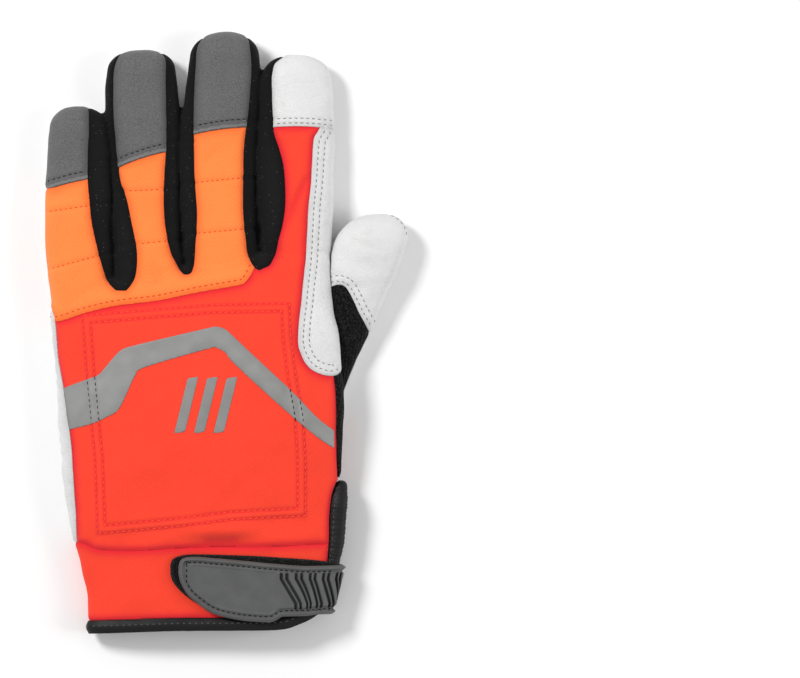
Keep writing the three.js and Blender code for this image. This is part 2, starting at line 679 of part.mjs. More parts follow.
// The palm's leather comes up the sides, and onto the back beside the thumb and beside the little finger
const thumbSide = besideLine(THUMB_SIDE_SEAM.map(handPoint), 1);
const pinkySide = besideLine(PINKY_SIDE_SEAM.map(handPoint), -1);
const TIP_REACH = { between: 1.02, outer: 1.6, along: 1.1 };
const tipRegion = (name) => {
  const finger = FINGERS[name];
  const { left, right } = TIP_SEAMS[name];
  const toLeft = name === "pinky" ? -TIP_REACH.outer : -TIP_REACH.between;
  const toRight = name === "index" ? TIP_REACH.outer : TIP_REACH.between;
  return [
    fingerPoint(finger, toLeft, left),
    fingerPoint(finger, toRight, right),
    fingerPoint(finger, toRight, TIP_REACH.along),
    fingerPoint(finger, toLeft, TIP_REACH.along),
  ];
};
const upperRegion = (gap) =>
  slab(PALM_SEAM_HEIGHT - gap, FAR)
    .subtract(column(grown(thumbSide, -gap)).subtract(column(grown(tipRegion("index"), gap))))
    .subtract(column(grown(pinkySide, -gap)));
const palmWall = handWall.subtract(upperRegion(SEAM_GAP));
let upperWall = handWall.intersect(upperRegion(0));

// Takes a region out of what is left of the back, with a gap round it
function takeOut(outline) {
  const taken = upperWall.intersect(column(outline));
  upperWall = upperWall.subtract(column(grown(outline, SEAM_GAP)));
  return taken;
}

const fourchetteRegion = (left, leftEdge, right, rightEdge) => [
  ...FOURCHETTE_EDGES[leftEdge].map(([along, share]) => fingerPoint(FINGERS[left], share, along)),
  ...FOURCHETTE_EDGES[rightEdge].map(([along, share]) => fingerPoint(FINGERS[right], share, along)).reverse(),
];

piece("fourchette_pinky_ring", takeOut(fourchetteRegion("pinky", "pinkyRight", "ring", "ringLeft")), COLOURS.black, 0.9);
piece("fourchette_ring_middle", takeOut(fourchetteRegion("ring", "ringRight", "middle", "middleLeft")), COLOURS.black, 0.9);
piece("fourchette_middle_index", takeOut(fourchetteRegion("middle", "middleRight", "index", "indexLeft")), COLOURS.black, 0.9);
for (const name of ["pinky", "ring", "middle"]) {
  piece(`fingertip_${name}`, takeOut(tipRegion(name)), COLOURS.grey, 0.85);
}
piece("fingertip_index", takeOut(tipRegion("index")), COLOURS.leather, 0.6);
const stripRegion = besideLine(SIDE_STRIP_SEAM.map(handPoint), 1);
piece("side_strip", takeOut(stripRegion), COLOURS.black, 0.95);
const knuckleLine = KNUCKLE_SEAM.map(handPoint);
const knuckleRegion = [...knuckleLine, [knuckleLine.at(-1)[0], FAR], [-FAR, FAR], [-FAR, knuckleLine[0][1]]];
piece("knuckle_panel", takeOut(knuckleRegion), COLOURS.orange, 0.8);
piece("back_panel", upperWall, COLOURS.red, 0.8);
piece("palm", palmWall, COLOURS.leather, 0.6);
piece("cuff", cuffWall, COLOURS.red, 0.8);
piece("hem_binding", hemRing, COLOURS.black, 0.7);
piece("slit_binding", rollSolid, COLOURS.black, 0.7);

// Thumb and its gusset
const gussetLine = GUSSET_SEAM.map(thumbPoint);
const gussetRegion = [...gussetLine, [FAR, -FAR], [-FAR, -FAR], [-FAR, gussetLine[0][1]]];
const gussetPart = (gap) => slab(PALM_SEAM_HEIGHT - gap, FAR).intersect(column(grown(gussetRegion, gap)));
piece("thumb", thumbWall.subtract(gussetPart(SEAM_GAP)), COLOURS.leather, 0.6);
piece("thumb_gusset", thumbWall.intersect(gussetPart(0)), COLOURS.black, 0.95);

// The saw guard lies under the cloth of the back
const under = (depth) => ({ side: INSIDE.side - depth, back: INSIDE.back - depth, palm: INSIDE.palm - depth });
const guardWall = handTube(under(SEAM_GAP))
  .subtract(handTube(under(SEAM_GAP + SAW_GUARD_THICKNESS)))
  .intersect(slab(HAND_THICKNESS * 0.5, FAR));
piece("saw_guard", guardWall.intersect(column(SAW_GUARD_OUTLINE.map(handPoint))), COLOURS.grey, 0.95);

// The reflective band lies on the cloth of the back
const bandRegion = [
  ...BAND_EDGES.rows.map(([across, upper]) => handPoint([across, upper])),
  ...BAND_EDGES.rows.map(([across, , lower]) => handPoint([across, lower])).reverse(),
];
const overBack = handTube(evenly(SEAM_GAP + BAND_THICKNESS))
  .subtract(handTube(evenly(SEAM_GAP)))
  .intersect(slab(PALM_SEAM_HEIGHT, FAR));
piece("reflective_band", overBack.intersect(column(bandRegion)), COLOURS.reflective, 0.4, 0.3);

// The closure: a hook strap that ends on the thumb side of the cuff, and a moulded tab sewn on it
const layer = (low, thickness) => handTube(evenly(low + thickness)).subtract(handTube(evenly(low)));
const tabLine = TAB_OUTLINE.map(handPoint);
const strapRegion = (outline) => slab(HAND_THICKNESS * STRAP_END, FAR).intersect(column(outline));
const hookSolid = layer(STRAP_LIFT, HOOK_THICKNESS)
  .intersect(strapRegion(grown(tabLine, HOOK_RIM / 2)))
  .subtract(rollClear);
piece("hook_strap", hookSolid, COLOURS.black, 0.95);
const tabSolid = layer(STRAP_LIFT + HOOK_THICKNESS + SEAM_GAP, TAB_THICKNESS).intersect(strapRegion(tabLine));
piece("closure_tab", tabSolid, COLOURS.rubber, 0.55);

// The part's origin is under the middle of its outline, on the surface that it lies on
const box = new THREE.Box3().setFromObject(group);
const middle = box.getCenter(new THREE.Vector3());
for (const mesh of pieces) mesh.position.set(-middle.x, -middle.y, -box.min.z);

export default group;
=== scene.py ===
# Looks of the left-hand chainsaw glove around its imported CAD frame.
# Lengths are in millimetres until a piece is made. x runs from the middle of the palm towards the thumb,
# y from the hem to the fingertips, and z up from the surface that the glove lies on.
import math

import bpy
import numpy as np
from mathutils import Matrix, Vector
from mathutils.bvhtree import BVHTree
from mathutils.kdtree import KDTree


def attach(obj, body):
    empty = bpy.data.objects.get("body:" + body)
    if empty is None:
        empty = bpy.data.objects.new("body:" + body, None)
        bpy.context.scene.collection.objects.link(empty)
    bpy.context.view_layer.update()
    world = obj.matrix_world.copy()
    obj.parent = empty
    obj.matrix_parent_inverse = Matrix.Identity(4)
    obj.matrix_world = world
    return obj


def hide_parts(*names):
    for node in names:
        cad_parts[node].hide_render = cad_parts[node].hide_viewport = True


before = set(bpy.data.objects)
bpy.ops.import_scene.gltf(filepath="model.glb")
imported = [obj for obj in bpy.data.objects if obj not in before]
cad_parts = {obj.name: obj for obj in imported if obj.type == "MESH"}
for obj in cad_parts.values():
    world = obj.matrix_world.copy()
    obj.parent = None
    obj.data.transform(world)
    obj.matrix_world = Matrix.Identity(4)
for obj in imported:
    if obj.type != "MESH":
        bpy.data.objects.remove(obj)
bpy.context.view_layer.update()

# Sizes, as in the part's source. The binding of the slit is a little fuller than there.
CUFF_LENGTH = 38.0
HAND_LENGTH = 125.0
HAND_THICKNESS = 26.0
FINGER_THICKNESS = 19.0
THUMB_WIDTH = 31.0
THUMB_LENGTH = 88.0
THUMB_THICKNESS = 19.0
BACK_WALL = 2.0
PALM_WALL = 1.5
PALM_SEAM_HEIGHT = 6.0
HEM_WIDTH = 5.6
ROLL_WIDTH = 6.0
ROLL_HEIGHT = 4.8
ROLL_INSET = 2.2
CROTCH_Y = CUFF_LENGTH + HAND_LENGTH
ORIGIN = np.array([16.26, 129.79, 0.0])  # the frame's origin in these coordinates
FAR = 400.0  # a length that reaches past the whole glove
SINK = 0.06  # how far a section would dip below its flat underside, as a share of its thickness

FINGERS = {
    "pinky": {"width": 29.5, "length": 74.8, "thickness": 0.9, "start": -10.0},
    "ring": {"width": 29.8, "length": 94.3, "thickness": 0.97, "start": -5.1},
    "middle": {"width": 32.9, "length": 96.9, "thickness": 1.0, "start": 0.0},
    "index": {"width": 30.5, "length": 84.8, "thickness": 0.97, "start": 2.3},
}
PALM_WIDTH = sum(finger["width"] for finger in FINGERS.values())

# Sections of the hand: along, left, right, top, mid at the left and right, floor at the left and right, slant
HAND_SECTIONS = np.array([
    [0.0, -0.714, 1.028, 0.66, 0.3, 0.37, 0.03, 0.155, 0],
    [0.387, -0.718, 1.03, 0.68, 0.3, 0.37, 0.03, 0.155, 0],
    [0.672, -0.757, 1.032, 0.7, 0.3, 0.38, 0.03, 0.155, 0],
    [0.98, -0.799, 1.046, 0.74, 0.3, 0.38, 0.02, 0.14, 0],
    [1.09, -0.845, 1.053, 0.78, 0.31, 0.39, 0.01, 0.1, 0],
    [1.229, -0.88, 1.063, 0.84, 0.32, 0.43, 0, 0.03, 0],
    [1.367, -0.905, 1.081, 0.9, 0.33, 0.49, 0, 0, 0],
    [1.506, -0.922, 1.085, 0.96, 0.34, 0.55, 0, 0, 0],
    [1.61, -0.937, 1.071, 0.99, 0.34, 0.58, 0, 0, 0.006],
    [1.696, -0.951, 1.06, 1.0, 0.34, 0.58, 0, 0, 0.02],
    [1.79, -0.965, 1.007, 0.98, 0.34, 0.53, 0, 0, 0.045],
    [1.886, -0.975, 0.993, 0.93, 0.34, 0.46, 0, 0, 0.08],
])
HAND_START = -0.2
HAND_END = 1.975
# Plan of each finger: along, left, right
FINGER_PLANS = {
    "pinky": [[-0.2, 0.1, 0.95], [0.0, 0.035, 1.0], [0.289, -0.022, 0.975], [0.52, -0.015, 0.961],
              [0.7225, 0.015, 0.955], [0.809, 0.025, 0.926], [0.867, 0.04, 0.9]],
    "ring": [[-0.16, 0.06, 0.95], [0.0, 0.01, 1.005], [0.202, 0.003, 0.953], [0.362, -0.012, 0.93],
             [0.523, -0.02, 0.939], [0.635, -0.075, 0.94], [0.729, -0.148, 0.935],
             [0.821, -0.137, 0.906], [0.9, -0.105, 0.862]],
    "middle": [[-0.16, 0.06, 0.95], [0.0, 0.012, 0.99], [0.143, -0.02, 0.96], [0.299, -0.04, 0.922],
               [0.5, -0.034, 0.941], [0.701, -0.002, 0.98], [0.79, 0.04, 0.991], [0.88, 0.079, 0.978]],
    "index": [[-0.2, 0.06, 0.9], [0.0, 0.02, 0.985], [0.158, -0.012, 1.002], [0.316, -0.048, 1.018],
              [0.546, -0.032, 1.024], [0.776, 0.01, 1.018], [0.857, 0.01, 0.99]],
}
# Height of the fingers: along, top, mid
FINGER_HEIGHTS = np.array([
    [-0.2, 1.08, 0.42], [0.0, 1.1, 0.44], [0.25, 1.04, 0.45], [0.5, 1.0, 0.45], [0.85, 0.95, 0.44],
])
# The thumb: y, x, turn, width, top, mid
THUMB_SECTIONS = np.array([
    [0.0, 0.0, -14, 0.82, 0.6, 0.28],
    [0.253, 0.088, -13, 0.8, 0.66, 0.3],
    [0.445, 0.167, -10, 0.84, 0.74, 0.34],
    [0.633, 0.238, -6, 0.9, 0.86, 0.4],
    [0.802, 0.3, -3, 0.99, 0.96, 0.44],
    [0.9, 0.336, -2, 1.0, 0.99, 0.44],
])
THUMB_ROOT = (0.79, 1.407)
THUMB_CAP = (0.054, 0.153)
HAND_POWERS = (2.6, 2.6)
FINGER_POWERS = (2.3, 2.6)
TIP_POWER = 2.2

# Seams, as (across, along) points of the hand
WRIST_SEAM = [(-1.2, 1.02), (-0.79, 1.015), (-0.64, 0.968), (-0.37, 0.952), (-0.1, 0.98), (0.17, 1.0),
              (0.57, 1.0), (0.98, 1.01), (1.4, 1.01)]
HEM_EDGE = [(-1.2, 0.0), (-0.71, 0.01), (-0.1, 0.045), (0.3, 0.05), (0.64, 0.06), (0.775, 0.12),
            (0.88, 0.2), (0.97, 0.32), (1.03, 0.45), (1.2, 0.7)]
SLIT_EDGE = [(1.25, 1.262), (1.085, 1.255), (1.055, 1.23), (1.02, 1.195), (1.002, 1.155), (0.99, 1.09),
             (0.986, 1.0), (0.972, 0.7), (0.95, 0.38), (0.95, -0.3)]
KNUCKLE_SEAM = [(-1.2, 1.772), (-0.927, 1.777), (-0.718, 1.808), (-0.496, 1.832), (-0.216, 1.849),
                (0.063, 1.877), (0.342, 1.901), (0.398, 1.911), (0.436, 1.935), (0.47, 1.97)]
THUMB_SIDE_SEAM = [
    (0.926, 2.595), (0.917, 2.564), (0.886, 2.532), (0.878, 2.496), (0.871, 2.434), (0.864, 2.362),
    (0.855, 2.291), (0.844, 2.22), (0.827, 2.005), (0.816, 1.949), (0.803, 1.893), (0.793, 1.838),
    (0.779, 1.783), (0.771, 1.727), (0.773, 1.693), (0.786, 1.672), (0.81, 1.644), (0.839, 1.624),
    (0.871, 1.61), (0.931, 1.596), (1.001, 1.589), (1.05, 1.593), (1.081, 1.606),
]
PINKY_SIDE_SEAM = [(-1.04, 1.84), (-0.965, 1.81), (-0.94, 1.73), (-0.926, 1.645), (-0.888, 1.544),
                   (-0.843, 1.395), (-0.816, 1.264), (-0.802, 1.125), (-0.795, 0.9)]
SIDE_STRIP_SEAM = [(1.02, 1.62), (1.038, 1.55), (1.045, 1.45), (1.05, 1.35), (1.055, 1.24)]
SAW_GUARD_OUTLINE = [(-0.743, 1.796), (-0.216, 1.818), (0.202, 1.834), (0.708, 1.838), (0.721, 1.714),
                     (0.753, 1.59), (0.803, 1.45), (0.82, 1.3), (0.82, 1.108), (0.302, 1.095),
                     (-0.102, 1.07), (-0.638, 1.045), (-0.655, 1.3), (-0.68, 1.43), (-0.71, 1.58)]
BAND_EDGES = [(-0.93, 1.52, 1.37), (-0.888, 1.544, 1.396), (-0.711, 1.578, 1.42), (-0.635, 1.592, 1.433),
              (-0.58, 1.62, 1.446), (-0.496, 1.668, 1.47), (-0.44, 1.686, 1.52), (-0.37, 1.695, 1.592),
              (-0.3, 1.704, 1.62), (0.146, 1.755, 1.684), (0.203, 1.759, 1.685), (0.26, 1.75, 1.67),
              (0.307, 1.731, 1.64), (0.481, 1.65, 1.56), (0.725, 1.538, 1.452), (0.9, 1.448, 1.38),
              (1.02, 1.402, 1.34)]
# Seams of the fingertips: along the finger, at its left and right edge
TIP_SEAMS = {"pinky": (0.52, 0.6), "ring": (0.455, 0.545), "middle": (0.53, 0.578), "index": (0.625, 0.625)}
FOURCHETTES = {
    "fourchette_pinky_ring": ("pinky_right", "ring_left"),
    "fourchette_ring_middle": ("ring_right", "middle_left"),
    "fourchette_middle_index": ("middle_right", "index_left"),
}
# Edges of the fourchettes: along the finger, and the share across it
FOURCHETTE_EDGES = {
    "pinky_right": [(1.02, 0.3), (0.97, 0.35), (0.861, 0.36), (0.75, 0.27), (0.58, 0.27), (0.462, 0.32),
                    (0.347, 0.37), (0.231, 0.48), (0.116, 0.6), (0.0, 0.78), (-0.058, 1.05)],
    "ring_left": [(1.03, -1.2), (1.0, -0.48), (0.977, -0.66), (0.9, -0.82), (0.729, -0.78), (0.6, -0.9),
                  (0.546, -0.93), (0.477, -0.9), (0.408, -0.82), (0.317, -0.62), (0.225, -0.52),
                  (0.087, -0.36), (-0.018, -0.4), (-0.07, -0.55), (-0.1, -0.72)],
    "ring_right": [(1.0, 0.48), (0.959, 0.72), (0.867, 0.72), (0.775, 0.67), (0.546, 0.6), (0.362, 0.53),
                   (0.225, 0.53), (0.133, 0.58), (0.064, 0.66), (0.0, 0.85), (-0.025, 1.0)],
    "middle_left": [(1.0, -0.48), (0.969, -0.7), (0.924, -0.82), (0.835, -0.82), (0.701, -0.74),
                    (0.567, -0.68), (0.433, -0.66), (0.299, -0.6), (0.165, -0.6), (0.031, -0.7),
                    (-0.058, -0.82), (-0.078, -0.95)],
    "middle_right": [(1.0, 0.48), (0.969, 0.7), (0.924, 0.76), (0.835, 0.79), (0.701, 0.77),
                     (0.567, 0.73), (0.478, 0.7), (0.299, 0.69), (0.165, 0.66), (0.076, 0.67),
                     (0.009, 0.7), (-0.04, 0.85), (-0.058, 1.02)],
    "index_left": [(0.995, -0.35), (0.959, -0.6), (0.908, -0.68), (0.847, -0.7), (0.673, -0.65),
                   (0.6, -0.6), (0.52, -0.44), (0.418, -0.3), (0.265, -0.26), (0.163, -0.33),
                   (0.061, -0.5), (-0.01, -0.62), (-0.066, -0.78), (-0.08, -0.95)],
}
GUSSET_SEAM = [(-0.1, 0.58), (0.07, 0.655), (0.13, 0.69), (0.178, 0.705), (0.22, 0.69), (0.258, 0.625),
               (0.284, 0.57), (0.34, 0.47)]
# The closure: across, the lower edge and the upper edge, along the cuff
TAB_EDGES = np.array([
    [-0.07, 0.7, 0.78], [-0.06, 0.62, 0.84], [-0.035, 0.53, 0.875], [0.0, 0.45, 0.89],
    [0.06, 0.365, 0.892], [0.168, 0.25, 0.878], [0.3, 0.19, 0.86], [0.44, 0.158, 0.838],
    [0.572, 0.148, 0.816], [0.62, 0.175, 0.81], [0.66, 0.212, 0.804], [0.84, 0.218, 0.786],
    [1.0, 0.235, 0.79], [1.4, 0.24, 0.8],
])
HOOK_EDGES = np.array([
    [-0.128, 0.69, 0.8], [-0.115, 0.62, 0.855], [-0.08, 0.54, 0.89], [-0.03, 0.46, 0.91],
    [0.042, 0.38, 0.919], [0.168, 0.29, 0.916], [0.3, 0.24, 0.91], [0.444, 0.22, 0.902],
    [0.66, 0.25, 0.88], [0.851, 0.25, 0.858], [1.053, 0.27, 0.825], [1.4, 0.27, 0.8],
])
# Distances of the stitched rows from the seams that they follow
GUARD_GAP = 3.3
KNUCKLE_GAP = 2.2
SIDE_GAPS = (2.2, 4.8)
GUSSET_GAPS = (1.6, 4.0)
HEM_GAP = HEM_WIDTH - 2.3
TIP_GAP = 3.5
TIP_GAPS = {"pinky": (TIP_GAP,), "ring": (TIP_GAP,), "middle": (TIP_GAP,), "index": (1.4, 3.4)}
TAB_CHANNEL = 2.5
# Stitched lines across the fingers: finger, along at the left and right edge
CROSS_LINES = [
    ("pinky", 0.395, 0.445), ("pinky", 0.065, 0.16), ("ring", 0.353, 0.365), ("ring", 0.103, 0.133),
    ("middle", 0.325, 0.355), ("middle", 0.1, 0.128),
]
# Folds and swellings of the back: from x, y to x, y, half width, height
FOLDS = [
    (51.5, 198.0, 46.5, 186.5, 2.2, -1.1), (48.0, 190.5, 40.5, 174.5, 2.2, -1.4),
    (38.9, 169.1, 38.1, 160.9, 2.0, -0.7), (12.1, 209.4, 6.9, 201.6, 2.4, -0.9),
    (-16.4, 160.0, -10.8, 150.5, 2.6, -1.0), (-9.0, 163.0, -5.0, 154.0, 3.5, 0.7),
    (-45.0, 36.8, -37.0, 46.0, 2.6, -0.6), (-3.0, 45.2, 30.0, 45.6, 4.0, 2.5),
    (-1.0, 39.8, 29.0, 40.0, 2.6, -0.8), (-61.0, 187.0, -54.0, 190.5, 2.2, -0.7),
    (-22.0, 40.5, -2.0, 42.0, 3.5, 0.5), (30.0, 41.5, 58.0, 43.0, 3.0, 0.5),
    (-44.0, 30.0, -20.0, 27.0, 6.0, -0.4), (-45.0, 12.0, -10.0, 16.0, 7.0, 0.4),
]
CROTCH_CREASES = [
    (-32.6, 178.0, -31.2, 162.0, 1.5, -1.0), (-3.4, 176.0, -2.6, 164.5, 1.5, -1.0),
    (29.6, 180.0, 30.6, 165.5, 1.7, -1.2), (-26.0, 163.5, -24.0, 157.5, 1.2, -0.7),
]
THUMB_FOLDS = [
    (66.0, 172.0, 80.0, 166.0, 2.2, -0.6), (68.0, 160.0, 84.0, 158.0, 2.6, -0.5),
    (63.0, 150.0, 76.0, 149.0, 2.2, -0.5), (72.0, 178.0, 90.0, 176.0, 3.2, 0.4),
]

# Lines and tables


def mix(a, b, share):
    return a + (b - a) * share


def read_table(rows, column, place):
    """A table's column at places along it, on a smooth curve that never overshoots the rows."""
    rows = np.asarray(rows, float)
    xs, ys = rows[:, 0], rows[:, column]
    slopes = np.diff(ys) / np.diff(xs)
    before, after = slopes[:-1], slopes[1:]
    same = before * after > 0
    inner = np.where(same, 2 * before * after / np.where(same, before + after, 1), 0)
    tangents = np.concatenate([slopes[:1], inner, slopes[-1:]])
    place = np.clip(place, xs[0], xs[-1])
    i = np.clip(np.searchsorted(xs, place, side="right") - 1, 0, len(xs) - 2)
    span = xs[i + 1] - xs[i]
    t = (place - xs[i]) / span
    return (ys[i] * (2 * t**3 - 3 * t**2 + 1) + tangents[i] * span * (t**3 - 2 * t**2 + t)
            + ys[i + 1] * (3 * t**2 - 2 * t**3) + tangents[i + 1] * span * (t**3 - t**2))


def height_along(along):
    if along < 1:
        return along * CUFF_LENGTH
    if along < 2:
        return CUFF_LENGTH + (along - 1) * HAND_LENGTH
    return CROTCH_Y + (along - 2) * FINGERS["middle"]["length"]


def hand_points(points):
    return np.array([(across * PALM_WIDTH / 2, height_along(along)) for across, along in points])


def smooth_line(points, per=8):
    """A curve through the points."""
    points = np.asarray(points, float)
    out = []
    for i in range(len(points) - 1):
        p = points[np.clip([i - 1, i, i + 1, i + 2], 0, len(points) - 1)]
        for t in np.arange(per) / per:
            out.append(0.5 * (2 * p[1] + (p[2] - p[0]) * t + (2 * p[0] - 5 * p[1] + 4 * p[2] - p[3]) * t**2
                              + (3 * p[1] - p[0] - 3 * p[2] + p[3]) * t**3))
    return np.array([*out, points[-1]])


def shifted(line, distance, closed=False):
    """The line moved to its left by a distance, seen along it."""
    line = np.asarray(line, float)
    if closed:
        step = np.roll(line, -1, axis=0) - line
        step /= np.linalg.norm(step, axis=1)[:, None]
        before = np.roll(step, 1, axis=0)
        normal = np.stack([-(step + before)[:, 1], (step + before)[:, 0]], axis=1)
        normal /= np.linalg.norm(normal, axis=1)[:, None]
        stretch = 1 / np.clip(normal[:, 1] * step[:, 0] - normal[:, 0] * step[:, 1], 0.4, 1)
        return line + normal * distance * stretch[:, None]
    step = np.gradient(line, axis=0)
    normal = np.stack([-step[:, 1], step[:, 0]], axis=1)
    return line + normal / np.linalg.norm(normal, axis=1)[:, None] * distance


def line_distance(points, line, closed=False):
    """Distance in plan from points to a line."""
    line = np.asarray(line, float)
    best = np.full(len(points), 1e9)
    ends = list(zip(line[:-1], line[1:])) + ([(line[-1], line[0])] if closed else [])
    for a, b in ends:
        ab = b - a
        t = np.clip(((points - a) @ ab) / max(ab @ ab, 1e-9), 0, 1)
        best = np.minimum(best, np.hypot(*(points - a - t[:, None] * ab).T))
    return best


def region_depth(points, outline):
    """Signed distance in plan to an outline, positive inside it."""
    outline = np.asarray(outline, float)
    inside = np.zeros(len(points), bool)
    x, y = points[:, 0], points[:, 1]
    for a, b in zip(outline, np.roll(outline, -1, axis=0)):
        crosses = (a[1] > y) != (b[1] > y)
        with np.errstate(divide="ignore", invalid="ignore"):
            inside ^= crosses & (x < (b[0] - a[0]) * (y - a[1]) / (b[1] - a[1]) + a[0])
    distance = line_distance(points, outline, closed=True)
    return np.where(inside, distance, -distance)


def near(points, line, width, closed=False):
    """1 on a line in plan, falling smoothly to 0 over a width."""
    return np.exp(-((line_distance(points, line, closed) / width) ** 2))


def below(line):
    """The region in plan between a line across the glove and the wearer's arm."""
    return np.vstack([line, [[FAR, -FAR], [-FAR, -FAR]]])


def beside(line, side=1):
    """The region in plan on the thumb's side of a line along the glove, or with -1 on its other side."""
    return np.vstack([line, [[side * FAR, line[-1][1]], [side * FAR, line[0][1]]]])


def run_length(line):
    """Distance along a line at each of its points."""
    return np.concatenate([[0], np.cumsum(np.linalg.norm(np.diff(line, axis=0), axis=1))])


def ramp(value, low, high):
    t = np.clip((value - low) / (high - low), 0, 1)
    return t * t * (3 - 2 * t)


WAVES = np.random.default_rng(7).normal(size=(40, 3))


def ripple(points, wavelength, seed=0):
    """Gentle unevenness between about -1 and 1."""
    total = np.zeros(len(points))
    for k in range(12):
        wave = WAVES[(k * 3 + seed * 7) % 40]
        direction = wave / np.linalg.norm(wave)
        length = wavelength * (0.7 + 0.06 * k)
        total += np.sin(points @ direction * 2 * math.pi / length + 1.7 * k + seed)
    return total / 5


slot_left = -PALM_WIDTH / 2
for finger in FINGERS.values():
    finger["left"] = slot_left
    finger["base"] = CROTCH_Y + finger["start"]
    slot_left += finger["width"]


def finger_edges(name, along):
    finger, plan = FINGERS[name], FINGER_PLANS[name]
    return [finger["left"] + finger["width"] * read_table(plan, k, along) for k in (1, 2)]


def finger_point(name, share, along):
    left, right = finger_edges(name, along)
    finger = FINGERS[name]
    return np.array([mix(left, right, (share + 1) / 2), finger["base"] + along * finger["length"]])


def thumb_points(points):
    root = hand_points([THUMB_ROOT])[0]
    return root + np.asarray(points, float) * THUMB_LENGTH


# Skins: the tubes of the hand, fingers and thumb


def section_ring(section, grow, sides):
    side, back, palm = grow
    angle = 2 * math.pi * np.arange(sides) / sides
    c, s = np.cos(angle), np.sin(angle)
    power = 2 / np.where(s >= 0, section["powers"][0], section["powers"][1])
    t = np.sign(c) * np.abs(c) ** power
    q = np.abs(s) ** power
    share = (t + 1) / 2
    mid, floor = section["mid"], section["floor"]
    middle = mix(mid[0], mid[1], share)
    lowest = mix(floor[0], floor[1], share) - palm
    reach = t * max(0.0, section["half_width"] + side)
    up = max(0.0, section["top"] - (mid[0] + mid[1]) / 2 + back)
    down = max(0.0, section["down"] + palm)
    z = np.where(s >= 0, middle + q * up, np.maximum(lowest, middle - q * down))
    centre, direction = section["centre"], section["direction"]
    x, y = (centre[k] + reach * direction[k] for k in (0, 1))
    return np.stack([x, y, np.maximum(z, lowest)], 1)


def hand_section(along, shrink=1.0):
    left, right, top, mid_l, mid_r, floor_l, floor_r, slant = (
        float(read_table(HAND_SECTIONS, k, along)) for k in range(1, 9)
    )
    left, right = left * PALM_WIDTH / 2, right * PALM_WIDTH / 2
    slant *= HAND_LENGTH
    half = math.hypot((right - left) / 2, slant)
    middle = (mid_l + mid_r) / 2 * HAND_THICKNESS
    return {
        "centre": ((left + right) / 2, height_along(along)),
        "direction": ((right - left) / 2 / half, slant / half),
        "half_width": half * mix(0.9, 1, shrink),
        "top": middle + (top * HAND_THICKNESS - middle) * shrink,
        "mid": (mid_l * HAND_THICKNESS, mid_r * HAND_THICKNESS),
        "floor": (floor_l * HAND_THICKNESS, floor_r * HAND_THICKNESS),
        "down": (middle + SINK * HAND_THICKNESS) * shrink,
        "powers": HAND_POWERS,
    }


def rounded_to(share):
    return (1 - (1 - share) ** TIP_POWER) ** (1 / TIP_POWER)


CAP_SHARES = 1 - np.sin(np.linspace(0, math.pi / 2, 12)[1:-1])


def hand_rings(grow, sides, step):
    last = HAND_SECTIONS[-1, 0]
    rings = [section_ring(hand_section(along), grow, sides) for along in np.arange(HAND_START, last, step)]
    for share in CAP_SHARES:
        section = hand_section(last, rounded_to(share))
        along = mix(HAND_END + grow[0] / HAND_LENGTH, last, share)
        section["centre"] = (section["centre"][0], height_along(along))
        rings.append(section_ring(section, grow, sides))
    return rings


def round_section(centre, direction, half_width, mid, top, thickness, shrink):
    """A section of a finger or of the thumb."""
    return {
        "centre": centre,
        "direction": direction,
        "half_width": half_width * shrink,
        "top": mid + (top - mid) * shrink,
        "mid": (mid, mid),
        "floor": (0, 0),
        "down": (mid + SINK * thickness) * shrink,
        "powers": FINGER_POWERS,
    }


def finger_rings(name, grow, sides, step):
    finger = FINGERS[name]
    thickness = FINGER_THICKNESS * finger["thickness"]
    first, last = FINGER_PLANS[name][0][0], FINGER_PLANS[name][-1][0]

    def ring(along, place, shrink=1.0):
        left, right = finger_edges(name, along)
        top, mid = (float(read_table(FINGER_HEIGHTS, k, along)) * thickness for k in (1, 2))
        centre = ((left + right) / 2, finger["base"] + place * finger["length"])
        section = round_section(centre, (1, 0), (right - left) / 2, mid, top, thickness, shrink)
        return section_ring(section, grow, sides)

    rings = [ring(along, along) for along in np.arange(first, last, step)]
    end = 1 + grow[0] / finger["length"]
    return rings + [ring(last, mix(end, last, share), rounded_to(share)) for share in (1.0, *CAP_SHARES)]


def thumb_rings(grow, sides=56, step=0.015):
    last = THUMB_SECTIONS[-1, 0]
    reach = 1 + grow[0] / (math.hypot(*THUMB_CAP) * THUMB_LENGTH)

    def ring(y, ahead=0.0, shrink=1.0):
        x, turn, width, top, mid = (float(read_table(THUMB_SECTIONS, k, y)) for k in range(1, 6))
        centre = thumb_points([(x + ahead * THUMB_CAP[0], y + ahead * THUMB_CAP[1])])[0]
        turn = math.radians(turn)
        direction = (math.cos(turn), math.sin(turn))
        mid, top = mid * THUMB_THICKNESS, top * THUMB_THICKNESS
        section = round_section(centre, direction, width * THUMB_WIDTH / 2, mid, top, THUMB_THICKNESS, shrink)
        return section_ring(section, grow, sides)

    rings = [ring(y) for y in np.arange(0, last, step)]
    return rings + [ring(last, (1 - share) * reach, rounded_to(share)) for share in (1.0, *CAP_SHARES)]


def tube_faces(first, count, sides):
    """Quads and end faces of a tube of rings whose points are numbered from a first one."""
    grid = first + np.arange(count * sides).reshape(count, sides)
    following = np.roll(grid, -1, axis=1)
    quads = np.stack([grid[:-1], following[:-1], following[1:], grid[1:]], axis=-1).reshape(-1, 4)
    return [*map(tuple, quads), tuple(grid[0][::-1]), tuple(grid[-1])]


def loft(rings):
    """Points and faces of a closed skin over rings."""
    rings = np.asarray(rings)
    return rings.reshape(-1, 3), tube_faces(0, *rings.shape[:2])


